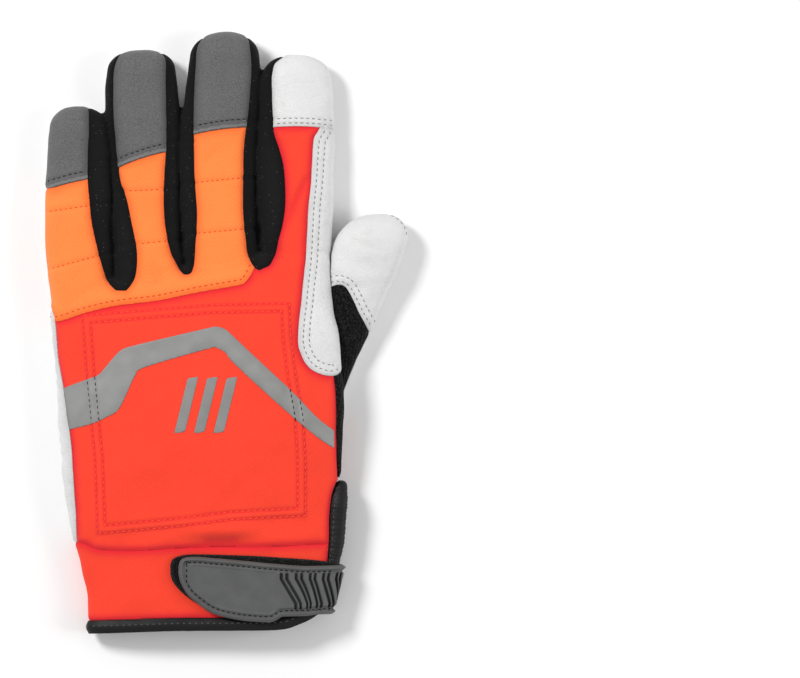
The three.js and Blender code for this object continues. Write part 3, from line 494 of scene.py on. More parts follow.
def sheet_faces(grid):
    """Faces of a closed sheet: a layer of points in a grid, a second one numbered on from it, and a rim."""
    quads = np.stack([grid[:-1, :-1], grid[1:, :-1], grid[1:, 1:], grid[:-1, 1:]], -1).reshape(-1, 4)
    rim = np.concatenate([grid[:, 0], grid[-1, 1:], grid[-2::-1, -1], grid[0, -2:0:-1]])
    following = np.roll(rim, -1)
    n = grid.size
    return np.vstack([quads, quads[:, ::-1] + n, np.stack([following, rim, rim + n, following + n], 1)])


def joined(parts):
    """Points and faces of several meshes as one."""
    points, faces, start = [], [], 0
    for verts, polygons in parts:
        points.append(verts)
        faces += [tuple(start + int(i) for i in face) for face in polygons]
        start += len(verts)
    return np.vstack(points), faces


def tree_of(*parts):
    """The surface of one or more meshes, to measure from and to cast on."""
    points, faces = joined(parts)
    return BVHTree.FromPolygons([Vector(p) for p in points], faces)


def hand_skins(hand_grow, finger_grow, hand_sides=96, finger_sides=56, step=0.02):
    """The tubes of the hand and of the four fingers."""
    fingers = [loft(finger_rings(name, finger_grow, finger_sides, step)) for name in FINGERS]
    return [loft(hand_rings(hand_grow, hand_sides, step)), *fingers]


def link(name, data):
    item = bpy.data.objects.new(name, data)
    bpy.context.scene.collection.objects.link(item)
    return item


def remeshed(skins, voxel):
    """One skin round all the skins, as triangles of even size."""
    points, faces = joined(skins)
    mesh = bpy.data.meshes.new("remesh")
    mesh.from_pydata(points, [], faces)
    item = link("remesh", mesh)
    modifier = item.modifiers.new("voxels", "REMESH")
    modifier.mode = "VOXEL"
    modifier.voxel_size = voxel
    result = item.evaluated_get(bpy.context.evaluated_depsgraph_get()).to_mesh()
    result.calc_loop_triangles()
    verts = np.empty(len(result.vertices) * 3)
    result.vertices.foreach_get("co", verts)
    tris = np.empty(len(result.loop_triangles) * 3, dtype=np.int32)
    result.loop_triangles.foreach_get("vertices", tris)
    bpy.data.objects.remove(item)
    bpy.data.meshes.remove(mesh)
    return verts.reshape(-1, 3), tris.reshape(-1, 3)


def edges_of(tris):
    return np.vstack([tris[:, [0, 1]], tris[:, [1, 2]], tris[:, [2, 0]]])


# Shares by which each round first draws points together and then pushes them back, so that nothing shrinks
SMOOTHING = (0.55, -0.57)


def relaxed(verts, tris, rounds):
    edges = edges_of(tris)
    degree = np.bincount(edges.ravel(), minlength=len(verts))[:, None]
    for i in range(rounds * 2):
        total = np.zeros_like(verts)
        np.add.at(total, edges[:, 0], verts[edges[:, 1]])
        np.add.at(total, edges[:, 1], verts[edges[:, 0]])
        verts = verts + SMOOTHING[i % 2] * (total / np.maximum(degree, 1) - verts)
    return verts


def units(vectors):
    return vectors / np.maximum(np.linalg.norm(vectors, axis=1), 1e-9)[:, None]


def normals_of(verts, tris):
    a, b, c = verts[tris[:, 0]], verts[tris[:, 1]], verts[tris[:, 2]]
    face = np.cross(b - a, c - a)
    out = np.zeros_like(verts)
    for k in range(3):
        np.add.at(out, tris[:, k], face)
    return units(out)


# Cutting skins into panels. A skin's columns are its first place, its place now and its normal.


def skin_of(verts, place, tris):
    return np.hstack([verts, place, normals_of(place, tris)]), tris


def swollen(verts, tris, swell):
    """A skin pushed out along its normals, except where it lies on the floor."""
    swell = swell * ramp(verts[:, 2], 0.1, 2.0)
    place = verts + normals_of(verts, tris) * swell[:, None]
    place[:, 2] = np.maximum(place[:, 2], 0.0)
    return skin_of(verts, place, tris)


def compact(verts, tris):
    used, index = np.unique(tris.ravel(), return_inverse=True)
    return verts[used], index.reshape(-1, 3)


def split(skin, field):
    """The part of a skin where a field is above 0, and the rest."""
    verts, tris = skin
    field = np.where(np.abs(field) < 1e-4, 1e-4, field)
    above = (field[tris] > 0).sum(axis=1)
    crossed = tris[above % 3 > 0]
    lone_above = above[above % 3 > 0] == 1
    # The corners of each crossed triangle, from the one that is alone on its side
    lone = np.argmax((field[crossed] > 0) == lone_above[:, None], axis=1)
    a, b, c = (crossed[np.arange(len(crossed)), (lone + k) % 3] for k in range(3))
    pairs = np.vstack([np.stack([a, b], 1), np.stack([a, c], 1)])
    keys, inverse = np.unique(np.sort(pairs, axis=1), axis=0, return_inverse=True)
    f0, f1 = field[keys[:, 0]], field[keys[:, 1]]
    share = (f0 / (f0 - f1))[:, None]
    verts = np.vstack([verts, verts[keys[:, 0]] * (1 - share) + verts[keys[:, 1]] * share])
    ab, ac = len(field) + inverse.reshape(2, -1)
    single = np.stack([a, ab, ac], 1)
    double = np.stack([np.stack([ab, b, c], 1), np.stack([ab, c, ac], 1)])
    kept = [tris[above == 3], single[lone_above], *double[:, ~lone_above]]
    dropped = [tris[above == 0], *double[:, lone_above], single[~lone_above]]
    return compact(verts, np.vstack(kept)), compact(verts, np.vstack(dropped))


def cut(skin, outline):
    """The part of a skin inside an outline in plan, and the rest."""
    return split(skin, region_depth(skin[0][:, :2], outline))


def boundary_edges(tris):
    edges = edges_of(tris)
    _, index, count = np.unique(np.sort(edges, axis=1), axis=0, return_index=True, return_counts=True)
    return edges[index[count == 1]]


def edge_distance(points, tris):
    border = np.unique(boundary_edges(tris))
    tree = KDTree(len(border))
    for k, i in enumerate(border):
        tree.insert(points[i], k)
    tree.balance()
    return np.array([tree.find(p)[2] for p in points])


LAP_RISE, LAP_WIDTH = 0.4, 5.0  # how far, and how wide, a panel rises along its lapped seam
SEAM_SHADE_WIDTH = 2.4  # how far the painted shade at a panel's edge reaches into it


def finished(skin, lift, drop, width, rim, tuck=0.15, lap=None):
    """A panel: its edges roll down between it and its neighbours, and end in a turned-in rim."""
    verts, tris = skin
    if lap is not None:
        lift = lift + LAP_RISE * near(verts[:, :2], lap, LAP_WIDTH)
    place, normal = verts[:, 3:6], units(verts[:, 6:9])
    distance = edge_distance(place, tris)
    place = place + normal * (lift - drop * np.exp(-((distance / width) ** 2)))[:, None]
    place[:, 2] = np.maximum(place[:, 2], 0.0)
    border = boundary_edges(tris)
    rim_points = np.unique(border)
    index = np.full(len(place), -1)
    index[rim_points] = np.arange(len(rim_points))
    points, faces = [place], [tris]
    previous = np.arange(len(place))
    for depth in (tuck, rim):
        mapped = sum(map(len, points)) + index
        lower = place[rim_points] - normal[rim_points] * depth
        lower[:, 2] = np.maximum(lower[:, 2], 0.02)
        points.append(lower)
        a, b = previous[border[:, 0]], previous[border[:, 1]]
        c, d = mapped[border[:, 1]], mapped[border[:, 0]]
        faces += [np.stack([b, a, d], 1), np.stack([b, d, c], 1)]
        previous = mapped
    # The edge value: painted shade at the panel's seams, strongest on its rim
    edge = np.concatenate([np.exp(-((distance / SEAM_SHADE_WIDTH) ** 2)), np.ones(2 * len(rim_points))])
    return np.vstack(points), np.vstack(faces), edge


def make(name, verts, faces, material, nodes=(), slot=None, edge=None):
    """A piece in metres in the glove's frame."""
    mesh = bpy.data.meshes.new(name)
    mesh.from_pydata((np.asarray(verts) - ORIGIN) / 1000, [], [tuple(f) for f in faces])
    mesh.validate()
    mesh.shade_smooth()
    # The edge attribute carries painted shade, and where negative a painted highlight, to the material
    if edge is not None:
        layer = mesh.attributes.new("edge", "FLOAT", "POINT")
        layer.data.foreach_set("value", np.asarray(edge, dtype=np.float32))
    mesh.materials.append(material)
    item = link(name, mesh)
    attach(item, "root")
    if nodes:
        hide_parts(*nodes)
    return item


# Materials


class Shader:
    """The nodes of a material, with places in millimetres, and the tone that is built up on it."""

    def __init__(self, name, colour, first=1.0):
        self.colour = colour
        self.tone = self.shade(first)
        self.material = bpy.data.materials.new(name)
        self.material.use_nodes = True
        self.tree = self.material.node_tree
        self.bsdf = self.tree.nodes["Principled BSDF"]
        place = self.add("TexCoord").outputs["Object"]
        self.place = self.add("VectorMath", operation="MULTIPLY", _0=place, _1=(1000, 1000, 1000)).outputs[0]
        # The edge attribute: painted shade at seams, grooves, folds and stitched rows where positive, a
        # painted highlight on a lip where negative
        edge = self.add("Attribute", attribute_name="edge").outputs["Fac"]
        self.edge = self.math("MAXIMUM", edge, 0.0)
        self.lip_highlight = self.math("MAXIMUM", self.math("MULTIPLY", edge, -1.0), 0.0)

    def add(self, kind, **settings):
        """A node. Settings that start with an underline are those of its sockets, by number or name."""
        node = self.tree.nodes.new("ShaderNode" + kind)
        for key, value in settings.items():
            if not key.startswith("_"):
                setattr(node, key, value)
        for key, value in settings.items():
            if key.startswith("_"):
                self.feed(node.inputs[int(key[1:]) if key[1:].isdigit() else key[1:]], value)
        return node

    def feed(self, socket, value):
        if isinstance(value, bpy.types.NodeSocket):
            self.tree.links.new(value, socket)
        else:
            socket.default_value = value

    def math(self, operation, a, b=0.0):
        return self.add("Math", operation=operation, _0=a, _1=b).outputs[0]

    def turned(self, degrees, stretch=(1, 1, 1)):
        turn = (0, 0, math.radians(degrees))
        return self.add("Mapping", _Vector=self.place, _Rotation=turn, _Scale=stretch).outputs[0]

    def wave(self, pitch, degrees, distortion=0.0):
        place = self.turned(degrees)
        return self.add("TexWave", _Vector=place, _Scale=0.314 / pitch, _Distortion=distortion).outputs["Fac"]

    def noise(self, size, detail=2.0, stretch=(1, 1, 1)):
        place = self.turned(0, stretch)
        return self.add("TexNoise", _Vector=place, _Scale=1 / size, _Detail=detail).outputs["Fac"]

    def cells(self, size, feature="F1"):
        node = self.add("TexVoronoi", feature=feature, _Vector=self.place, _Scale=1 / size)
        return node.outputs["Distance"]

    def blend(self, factor, a, b):
        return self.add("Mix", data_type="RGBA", _0=factor, _6=a, _7=b).outputs[2]

    def span(self, value, low, high, to_low, to_high):
        return self.add("MapRange", _0=value, _1=low, _2=high, _3=to_low, _4=to_high).outputs[0]

    def shade(self, colour):
        """A colour as it is, or the material's own one times a factor."""
        return colour if isinstance(colour, tuple) else (*(min(1.0, c * colour) for c in self.colour), 1)

    def lay(self, mask, share, colour):
        """Lays a colour on the tone, by a share of a mask."""
        self.tone = self.blend(self.math("MULTIPLY", mask, share), self.tone, self.shade(colour))

    def patch(self, mask, low, high, at_low, at_high, colour):
        """Lays a colour on the tone, by one share where a mask is low and another where it is high."""
        self.tone = self.blend(self.span(mask, low, high, at_low, at_high), self.tone, self.shade(colour))

    def bump(self, height, strength, distance_mm):
        before = self.bsdf.inputs["Normal"]
        node = self.add("Bump", _Height=height, _Strength=strength, _Distance=distance_mm / 1000)
        if before.links:
            self.tree.links.new(before.links[0].from_socket, node.inputs["Normal"])
        self.tree.links.new(node.outputs[0], before)

    def done(self, *bumps, **values):
        """The material, with its bumps and the values of its surface."""
        for key, value in {"Base_Color": self.tone, **values}.items():
            self.feed(self.bsdf.inputs[key.replace("_", " ")], value)
        for bump in bumps:
            self.bump(*bump)
        return self.material


def cloth(name, colour, pitch, sheen=0.12, grain=0.35, seam_shade=(0.5, 0.5, 0.5), lint=0.0):
    """Woven cloth: two crossing sets of yarns, uneven dyeing, and painted shade of a deeper colour at the
    seams, grooves and folds.
    """
    s = Shader(name, colour, 0.95)
    first, second = s.wave(pitch, 38, 0.6), s.wave(pitch, -52, 0.6)
    weave = s.math("MULTIPLY", first, s.math("MULTIPLY_ADD", second, 0.5))
    fibres = s.noise(pitch * 0.7, 3)
    s.patch(s.noise(16, 2), 0.3, 0.7, 0, 1, 1.05)
    s.lay(first, 0.42, (colour[0] * 0.82, colour[1] * 0.6, colour[2] * 0.6, 1))
    s.patch(fibres, 0.35, 0.75, 0, 0.22, (*(min(1.0, c * 1.2 + 0.03) for c in colour), 1))
    # Painted shade: a deeper colour where the edge attribute marks seams, grooves, folds and stitched rows
    s.lay(s.edge, 0.75, (*(c * share for c, share in zip(colour, seam_shade)), 1))
    if lint:
        s.patch(s.cells(1.7), 0.03, 0.09, lint, 0, (0.5, 0.5, 0.5, 1))
    return s.done((weave, grain, 0.12), (fibres, grain * 0.7, 0.1), Roughness=0.85,
                  Specular_IOR_Level=0.12, Sheen_Weight=sheen, Sheen_Roughness=0.5)


def leather(name, colour):
    """Smooth grain leather: small cells, fine pores, soft creases with painted shade in their hollows, and
    grey painted shade at the seams and stitched rows.
    """
    s = Shader(name, colour, 0.94)
    grain = s.cells(1.0, "DISTANCE_TO_EDGE")
    pores = s.noise(0.35, 3)
    creases = s.noise(5.5, 4, (1, 1.8, 1))
    s.patch(s.noise(22, 3), 0.3, 0.7, 0, 1, 1.03)
    # Painted shade in the hollows of the creases
    s.patch(creases, 0.28, 0.42, 0.35, 0, 0.8)
    # Grey painted shade at the seams and along the stitched rows
    s.lay(s.edge, 0.28, (0.36, 0.36, 0.35, 1))
    return s.done((s.span(grain, 0, 0.2, 0, 1), 0.65, 0.15), (pores, 0.35, 0.08), (creases, 0.4, 0.6),
                  Roughness=s.span(pores, 0.3, 0.7, 0.42, 0.58), Specular_IOR_Level=0.38)


def looped(name, colour, size, fuzz_size, high, tones, fuzz_share, sheen, shine, depths, ribs=None):
    """Small dark loops with paler fuzz on them: ribbed knit, and hook-and-loop tape."""
    s = Shader(name, colour, tones[0])
    loops, fuzz = s.cells(size), s.noise(fuzz_size, 4)
    s.patch(loops, 0.1, high, 0, 1, tones[1])
    s.patch(fuzz, 0.55, 0.75, 0, fuzz_share, 9.0)
    bumps = [(s.math("SUBTRACT", 1.0, loops), *depths[0]), (fuzz, *depths[1])]
    if ribs:
        bumps.insert(1, (s.wave(*ribs), 0.5, 0.4))
    return s.done(*bumps, Roughness=0.95, Sheen_Weight=sheen, Specular_IOR_Level=shine)


def coated(name, colour):
    """Cloth of the fingertips: a matt ground with a fine, uneven grain, painted shade at its seam and
    stitched row, and a painted highlight on the raised lip by its seam.
    """
    s = Shader(name, colour, 0.66)
    flecks = s.noise(0.42, 4)
    s.patch(flecks, 0.38, 0.62, 0, 1, 1.3)
    s.patch(s.noise(9, 3), 0.35, 0.7, 0, 0.3, 1.2)
    # Painted shade at the seam and along the stitched row, and a painted highlight on the lip beside the seam
    s.lay(s.edge, 0.5, 0.35)
    s.lay(s.lip_highlight, 0.55, 2.4)
    return s.done((flecks, 0.4, 0.12), (s.wave(0.55, 20, 1.0), 0.15, 0.08),
                  Roughness=0.75, Specular_IOR_Level=0.3, Sheen_Weight=0.15)


def film(name, colour):
    """Reflective tape: a fine bead structure with a soft metallic sheen."""
    s = Shader(name, colour, 0.93)
    wear = s.noise(6, 4)
    s.patch(wear, 0.3, 0.75, 0, 1, 1.08)
    # Painted shade at the tape's edges
    s.lay(s.edge, 0.2, 0.6)
    return s.done((s.noise(0.3, 2), 0.15, 0.05), (s.wave(0.6, 38), 0.12, 0.06),
                  Metallic=0.25, Roughness=s.span(wear, 0.3, 0.7, 0.5, 0.62), Specular_IOR_Level=0.4)


def rubber(name, colour):
    """Moulded rubber: a fine spark-eroded skin, paler where it is handled, with painted shade in the sewn
    channel and the grip's slots.
    """
    s = Shader(name, colour, 0.92)
    skin = s.noise(0.22, 3)
    s.patch(s.noise(7, 4), 0.35, 0.75, 0, 1, 1.12)
    # Painted shade in the sewn channel and the grip's slots
    s.lay(s.edge, 0.9, 0.12)
    return s.done((skin, 0.25, 0.06), Roughness=s.span(skin, 0.3, 0.7, 0.5, 0.64), Specular_IOR_Level=0.4)


def binding(name, colour):
    """Binding tape: close diagonal ribs with a slight shine."""
    s = Shader(name, colour, 1.25)
    ribs = s.wave(0.7, 62, 0.8)
    s.lay(ribs, 0.5, 0.6)
    # Painted shade at the tape's edges and along the hem's stitched row
    s.lay(s.edge, 0.4, 0.3)
    return s.done((ribs, 0.3, 0.12), (s.noise(0.4, 3), 0.3, 0.1),
                  Roughness=0.5, Specular_IOR_Level=0.22, Sheen_Weight=0.03)


def thread(name, colour):
    s = Shader(name, colour, 1.1)
    twist = s.wave(0.35, 45, 0.5)
    s.lay(twist, 0.3, 0.7)
    return s.done((twist, 0.3, 0.06), Roughness=0.85, Specular_IOR_Level=0.08)


RED_CLOTH = cloth("red_softshell", (0.93, 0.058, 0.027), 0.95, seam_shade=(0.72, 0.12, 1.1))
ORANGE_CLOTH = cloth("orange_weave", (0.98, 0.25, 0.056), 1.1, grain=0.5, seam_shade=(0.95, 0.55, 0.5))
BLACK_CLOTH = cloth("black_stretch", (0.006, 0.006, 0.006), 0.5, sheen=0.03, grain=0.3, lint=0.5)
LEATHER = leather("white_leather", (0.725, 0.73, 0.725))
GREY_CLOTH = coated("grey_flecked", (0.107, 0.107, 0.107))
KNIT = looped("black_knit", (0.0055, 0.0055, 0.0055), 0.9, 0.4, 0.6, (3.5, 0.4), 0.6, 0.06, 0.08,
              ((0.8, 0.5), (0.5, 0.15)), ribs=(1.3, 8, 2.0))
FILM = film("reflective_tape", (0.275, 0.277, 0.271))
RUBBER = rubber("grey_rubber", (0.088, 0.089, 0.089))
BINDING = binding("binding_tape", (0.008, 0.008, 0.008))
HOOKS = looped("hook_and_loop", (0.007, 0.007, 0.007), 0.55, 0.3, 0.5, (4.0, 0.35), 0.5, 0.1, 0.06,
               ((1.0, 0.6), (0.6, 0.25)))
INNER = cloth("inner_cloth", (0.02, 0.02, 0.021), 0.8)
GUARD = cloth("guard_fibre", (0.42, 0.41, 0.36), 1.2)
THREAD_COLOURS = {
    "red": (0.97, 0.085, 0.035),
    "orange": (0.7, 0.08, 0.02),
    "grey": (0.22, 0.22, 0.22),
    "dark": (0.02, 0.02, 0.02),
    "black": (0.008, 0.008, 0.008),
    "binding": (0.09, 0.09, 0.09),
}
THREADS = {name: thread(f"{name}_thread", colour) for name, colour in THREAD_COLOURS.items()}

# Seams, stitched rows and the outlines of panels, in plan

wrist_line, hem_line, slit_line, knuckle_line = (
    smooth_line(hand_points(seam)) for seam in (WRIST_SEAM, HEM_EDGE, SLIT_EDGE, KNUCKLE_SEAM)
)
side_strip_line, thumb_side_line, pinky_side_line = (
    smooth_line(hand_points(seam)) for seam in (SIDE_STRIP_SEAM, THUMB_SIDE_SEAM, PINKY_SIDE_SEAM)
)
gusset_line = smooth_line(thumb_points(GUSSET_SEAM))
guard_outline = hand_points(SAW_GUARD_OUTLINE)
guard_inner = shifted(guard_outline, -GUARD_GAP, closed=True)
knuckle_row = shifted(knuckle_line, KNUCKLE_GAP)
side_rows = [shifted(thumb_side_line, gap) for gap in SIDE_GAPS]
gusset_rows = [shifted(gusset_line, gap) for gap in GUSSET_GAPS]
hem_row = shifted(hem_line, HEM_GAP)

TIP_SHARES = np.linspace(-1.5, 1.5, 13)  # shares across the finger, past both its edges
TIP_BOW = 0.012
TIP_TOP = 1.1  # along the finger, beyond its end
# Shares across the finger that its tip's region reaches to, beside another finger and on the outside
TIP_SIDE, OUTER_SIDE = 1.04, 1.6


def tip_line(name, gap=0.0):
    """The seam of a fingertip, or a line at a gap beyond it."""
    left, right = TIP_SEAMS[name]
    shares = np.clip(TIP_SHARES, -1, 1)
    alongs = mix(left, right, (shares + 1) / 2) + TIP_BOW * (1 - shares**2) + gap / FINGERS[name]["length"]
    return np.array([finger_point(name, share, along) for share, along in zip(TIP_SHARES, alongs)])


def tip_region(name):
    to_left = -OUTER_SIDE if name == "pinky" else -TIP_SIDE
    to_right = OUTER_SIDE if name == "index" else TIP_SIDE
    left, right = TIP_SEAMS[name]
    places = np.linspace(0.08, 1, 9)
    return np.array([
        finger_point(name, to_left, left),
        *tip_line(name)[np.abs(TIP_SHARES) < 1],
        finger_point(name, to_right, right),
        *(finger_point(name, to_right, mix(right, TIP_TOP, t)) for t in places),
        *(finger_point(name, to_left, mix(left, TIP_TOP, t)) for t in places[::-1]),
    ])


def cross_line(name, left, right, reach=1):
    """A line across a finger, as far as a share of its half width."""
    return np.array([finger_point(name, -reach, left), finger_point(name, reach, right)])


def fourchette_line(edge):
    finger = edge.split("_")[0]
    return smooth_line([finger_point(finger, share, along) for along, share in FOURCHETTE_EDGES[edge]], per=5)


tips = {name: tip_region(name) for name in FINGERS}
tip_rows = {name: [tip_line(name, gap) for gap in TIP_GAPS[name]] for name in FINGERS}
forks = {
    name: np.vstack([fourchette_line(left), fourchette_line(right)[::-1]])
    for name, (left, right) in FOURCHETTES.items()
}

# Body of the glove

SKIN = (0.0, 0.0, 0.0)  # how far a skin is grown at its sides, its back and its palm
FINGER_SKIN = (0.25, 0.0, 0.0)
VOXEL = 0.8


def bumps(points, folds):
    total = np.zeros(len(points))
    for x0, y0, x1, y1, width, height in folds:
        start, run = np.array([x0, y0]), np.array([x1 - x0, y1 - y0])
        t = ((points[:, :2] - start) @ run) / (run @ run)
        across = np.abs((points[:, 0] - x0) * run[1] - (points[:, 1] - y0) * run[0]) / math.hypot(*run)
        total += height * np.exp(-((across / width) ** 2)) * np.exp(-(np.abs(2 * t - 1) ** 3) * 1.4)
    return total


def facing_up(verts, tris):
    return ramp(normals_of(verts, tris)[:, 2], 0.05, 0.5)


verts, tris = remeshed(hand_skins(SKIN, FINGER_SKIN), VOXEL)
verts = relaxed(verts, tris, 5)
x, y, z = verts.T
plan, up = verts[:, :2], facing_up(verts, tris)
raised = ramp(region_depth(plan, guard_outline), -2.2, 1.2) * 1.3
swell = 0.28 * ripple(verts, 26) + 0.1 * ripple(verts, 9, 3)
swell += (bumps(verts, FOLDS) + bumps(verts, CROTCH_CREASES) + raised) * up
# Fine wrinkles on the edge beside the little finger
edge_side = ramp(-x, 40.0, 50.0) * (1 - ramp(normals_of(verts, tris)[:, 2], 0.2, 0.6))
edge_side *= ramp(y, 50, 70) * (1 - ramp(y, 120, 145))
swell += edge_side * 0.22 * np.sin(y * 0.8 + 2.2 * np.sin(y * 0.23) + z * 0.25)
# Channels that the seams and the stitched rows press in
swell -= 0.6 * near(plan, guard_outline, 0.9, closed=True) * up
swell -= 0.55 * near(plan, guard_inner, 0.9, closed=True) * up
swell -= 0.22 * near(plan, knuckle_row, 0.9) * up
for row in side_rows:
    swell -= 0.3 * near(plan, row, 0.9) * up
for cross in CROSS_LINES:
    line = cross_line(*cross)
    swell += (-0.5 * near(plan, line, 1.1) + 0.25 * near(plan, line, 6)) * up
for row in sum(tip_rows.values(), []):
    swell -= 0.3 * near(plan, row, 0.8) * up
body = swollen(verts, tris, swell)
hand_tree = tree_of((body[0][:, 3:6], tris))

panels = {}
_, body = cut(body, beside(slit_line))
_, body = cut(body, below(hem_line))
panels["hem_binding"], body = cut(body, below(shifted(hem_line, HEM_WIDTH)))
panels["cuff"], body = cut(body, below(wrist_line))
plan = body[0][:, :2]
strip_depth = np.minimum(region_depth(plan, beside(thumb_side_line)), -region_depth(plan, tips["index"]))
back_depth = np.minimum(body[0][:, 2] - PALM_SEAM_HEIGHT, -strip_depth)
back_depth = np.minimum(back_depth, -region_depth(plan, beside(pinky_side_line, -1)))
back, panels["palm"] = split(body, back_depth)
for name, fork in forks.items():
    panels[name], back = cut(back, fork)
for name, tip in tips.items():
    panels[f"fingertip_{name}"], back = cut(back, tip)
panels["side_strip"], back = cut(back, beside(side_strip_line))
corners = [[knuckle_line[-1][0], FAR], [-FAR, FAR], [-FAR, knuckle_line[0][1]]]
panels["knuckle_panel"], panels["back_panel"] = cut(back, np.vstack([knuckle_line, corners]))

# The thumb, cut where it meets the hand

HAND_NEAR = 12.0  # distances from the hand are measured as far as this
THUMB_CLEAR = 0.25


def outside_hand(points):
    """Distances from the skin of the hand, positive outside it."""
    out = []
    for p in points:
        place, normal, _, distance = hand_tree.find_nearest(p, HAND_NEAR)
        out.append(HAND_NEAR if place is None else math.copysign(distance, (Vector(p) - place).dot(normal)))
    return np.array(out)


verts, tris = remeshed([loft(thumb_rings(SKIN))], VOXEL)
verts = relaxed(verts, tris, 4)
up = facing_up(verts, tris)
swell = 0.22 * ripple(verts, 20, 2) + 0.1 * ripple(verts, 7, 5) + bumps(verts, THUMB_FOLDS) * up
for row in gusset_rows:
    swell -= 0.25 * near(verts[:, :2], row, 0.8) * up
thumb = swollen(verts, tris, swell)
thumb, _ = split(thumb, outside_hand(thumb[0][:, 3:6]) - THUMB_CLEAR)
corners = [[FAR, -FAR], [-FAR, -FAR], [-FAR, gusset_line[0][1]]]
gusset_depth = region_depth(thumb[0][:, :2], np.vstack([gusset_line, corners]))
panels["thumb_gusset"], panels["thumb"] = split(
    thumb, np.minimum(gusset_depth, thumb[0][:, 2] - PALM_SEAM_HEIGHT)
)

# Panels: lift, drop at the edge, width of the drop, depth of the rim, material, slot
GREY_TIP = (0.05, 0.42, 0.9, 1.2, GREY_CLOTH, "grey_cloth")
FORK = (-0.05, 0.4, 1.0, 1.2, BLACK_CLOTH, "black_cloth")
PANELS = {
    "palm": (0.25, 0.6, 0.8, 0.9, LEATHER, "white_leather"),
    "back_panel": (0.0, 0.75, 1.2, 1.0, RED_CLOTH, "red_cloth"),
    "cuff": (-0.35, 0.5, 0.9, 0.45, RED_CLOTH, "red_cloth"),
    "knuckle_panel": (0.2, 0.6, 1.0, 1.2, ORANGE_CLOTH, "orange_cloth"),
    "fingertip_pinky": GREY_TIP,
    "fingertip_ring": GREY_TIP,
    "fingertip_middle": GREY_TIP,
    "fingertip_index": (0.2, 0.55, 0.9, 1.2, LEATHER, "white_leather"),
    **dict.fromkeys(FOURCHETTES, FORK),
    "side_strip": (0.35, 0.4, 0.8, 1.2, KNIT, "black_knit"),
    "thumb": (0.15, 0.5, 0.8, 1.6, LEATHER, "white_leather"),
    "thumb_gusset": (-0.2, 0.5, 1.0, 1.4, KNIT, "black_knit"),
    "hem_binding": (0.75, 0.95, 1.3, 3.0, BINDING, "black_binding"),
}


def dark(lines, strength, width=0.6, closed=False):
    """Lines along which shade is painted on a panel, as at its edges."""
    return [(line, strength, width, closed) for line in lines]


# Painted shade along the guard's pressed channels, the fold above the wrist seam, the crease on the index
# side, the knuckle and cross rows, the hem row and the stitched rows of the leather
PAINTED_SHADE_LINES = {
    "back_panel": dark([guard_outline, guard_inner], 1.0, 0.55, closed=True)
    # Painted shade on the fold just above the wrist seam
    + dark([[(4.0, 38.8), (31.0, 39.3)]], 0.5, 1.4)
    + dark([[(8.0, 40.0), (20.0, 40.2)]], 0.7, 2.6)
    # Painted shade in the crease on the index side
    + dark([[(51.5, 198.0), (47.3, 189.0), (41.0, 175.5)]], 0.6, 1.8),
    "knuckle_panel": dark([knuckle_row], 0.5) + dark([cross_line(*cross) for cross in CROSS_LINES], 0.35),
    "hem_binding": dark([hem_row], 1.0),
    "palm": dark(side_rows, 0.3),
    "fingertip_index": dark(tip_rows["index"], 0.3),
    "thumb": dark(gusset_rows, 0.3),
}
LIP_GAP = 0.9  # from the seam of a grey fingertip to the painted highlight on its lip
shells = {}
for name, (lift, drop, width, rim, material, slot) in PANELS.items():
    grey_tip = material is GREY_CLOTH
    lap = tip_line(name.split("_")[1]) if grey_tip else None
    verts, faces, edge = finished(panels[name], lift, drop, width, rim, lap=lap)
    plan, up = verts[:, :2], normals_of(verts, faces)[:, 2] > 0.2
    # Painted shade along the listed grooves, folds and stitched rows
    for line, strength, wide, closed in PAINTED_SHADE_LINES.get(name, ()):
        edge = np.maximum(edge, strength * near(plan, line, wide, closed) * up)
    # A grey fingertip: a painted highlight on the lip beside its lapped seam, and painted shade along its
    # stitched row
    if grey_tip:
        distance = line_distance(plan, lap)
        lip_highlight = np.exp(-(((distance - LIP_GAP) / 0.7) ** 2)) * up
        row = np.exp(-(((distance - TIP_GAP) / 0.6) ** 2)) * up
        edge = np.where(lip_highlight > 0.3, -lip_highlight, np.maximum(edge, 0.6 * row))
    shells[name] = (verts, faces)
    make(f"{name}_shell", verts, faces, material, [name], slot, edge)

# Reflective band and a plain motif of three slanted bars, laid on the cloth of the back


def on_back(outline, lift, thickness):
    """Film on the cloth of the back, inside an outline."""
    verts, faces = shells["back_panel"]
    normals = normals_of(verts, faces)
    top = normals[:, 2] > 0.1
    skin = compact(np.hstack([verts, verts + normals * lift, normals]), faces[top[faces].all(axis=1)])
    return finished(cut(skin, outline)[0], lift=0.0, drop=0.05, width=0.4, rim=thickness, tuck=0.06)


band_upper, band_lower = (
    smooth_line(hand_points([(row[0], row[k]) for row in BAND_EDGES]), per=6) for k in (1, 2)
)
band_outline = np.vstack([band_upper, band_lower[::-1]])
verts, faces, edge = on_back(band_outline, 0.3, 0.45)
band_tree = tree_of((verts, faces))
make("reflective_band_film", verts, faces, FILM, ["reflective_band"], "reflective_tape", edge)

MOTIF_START = np.array([-6.0, 87.0])
MOTIF_PITCH = np.array([8.4, 0.0])
MOTIF_BAR = np.array([(0, 0), (4.6, 0.7), (10.4, 24.4), (5.8, 23.7)])
for k in range(3):
    verts, faces, edge = on_back(MOTIF_BAR + (MOTIF_START + k * MOTIF_PITCH), 0.22, 0.35)
    make(f"motif_bar_{k}", verts, faces, FILM, (), "reflective_tape", edge)

# Closure strap and tab, which run round the thumb side

STRAP_SIDES = 480  # points of the section that they follow
STRAP_PATH = 420  # how many of them it takes, from the little finger's side over the back to the underside
STRAP_START = 40.0  # where an arc is as long as x
STRAP_LEAN = 4.3  # how far they move off the thumb side towards the hem
STRAP_SAMPLES = 24


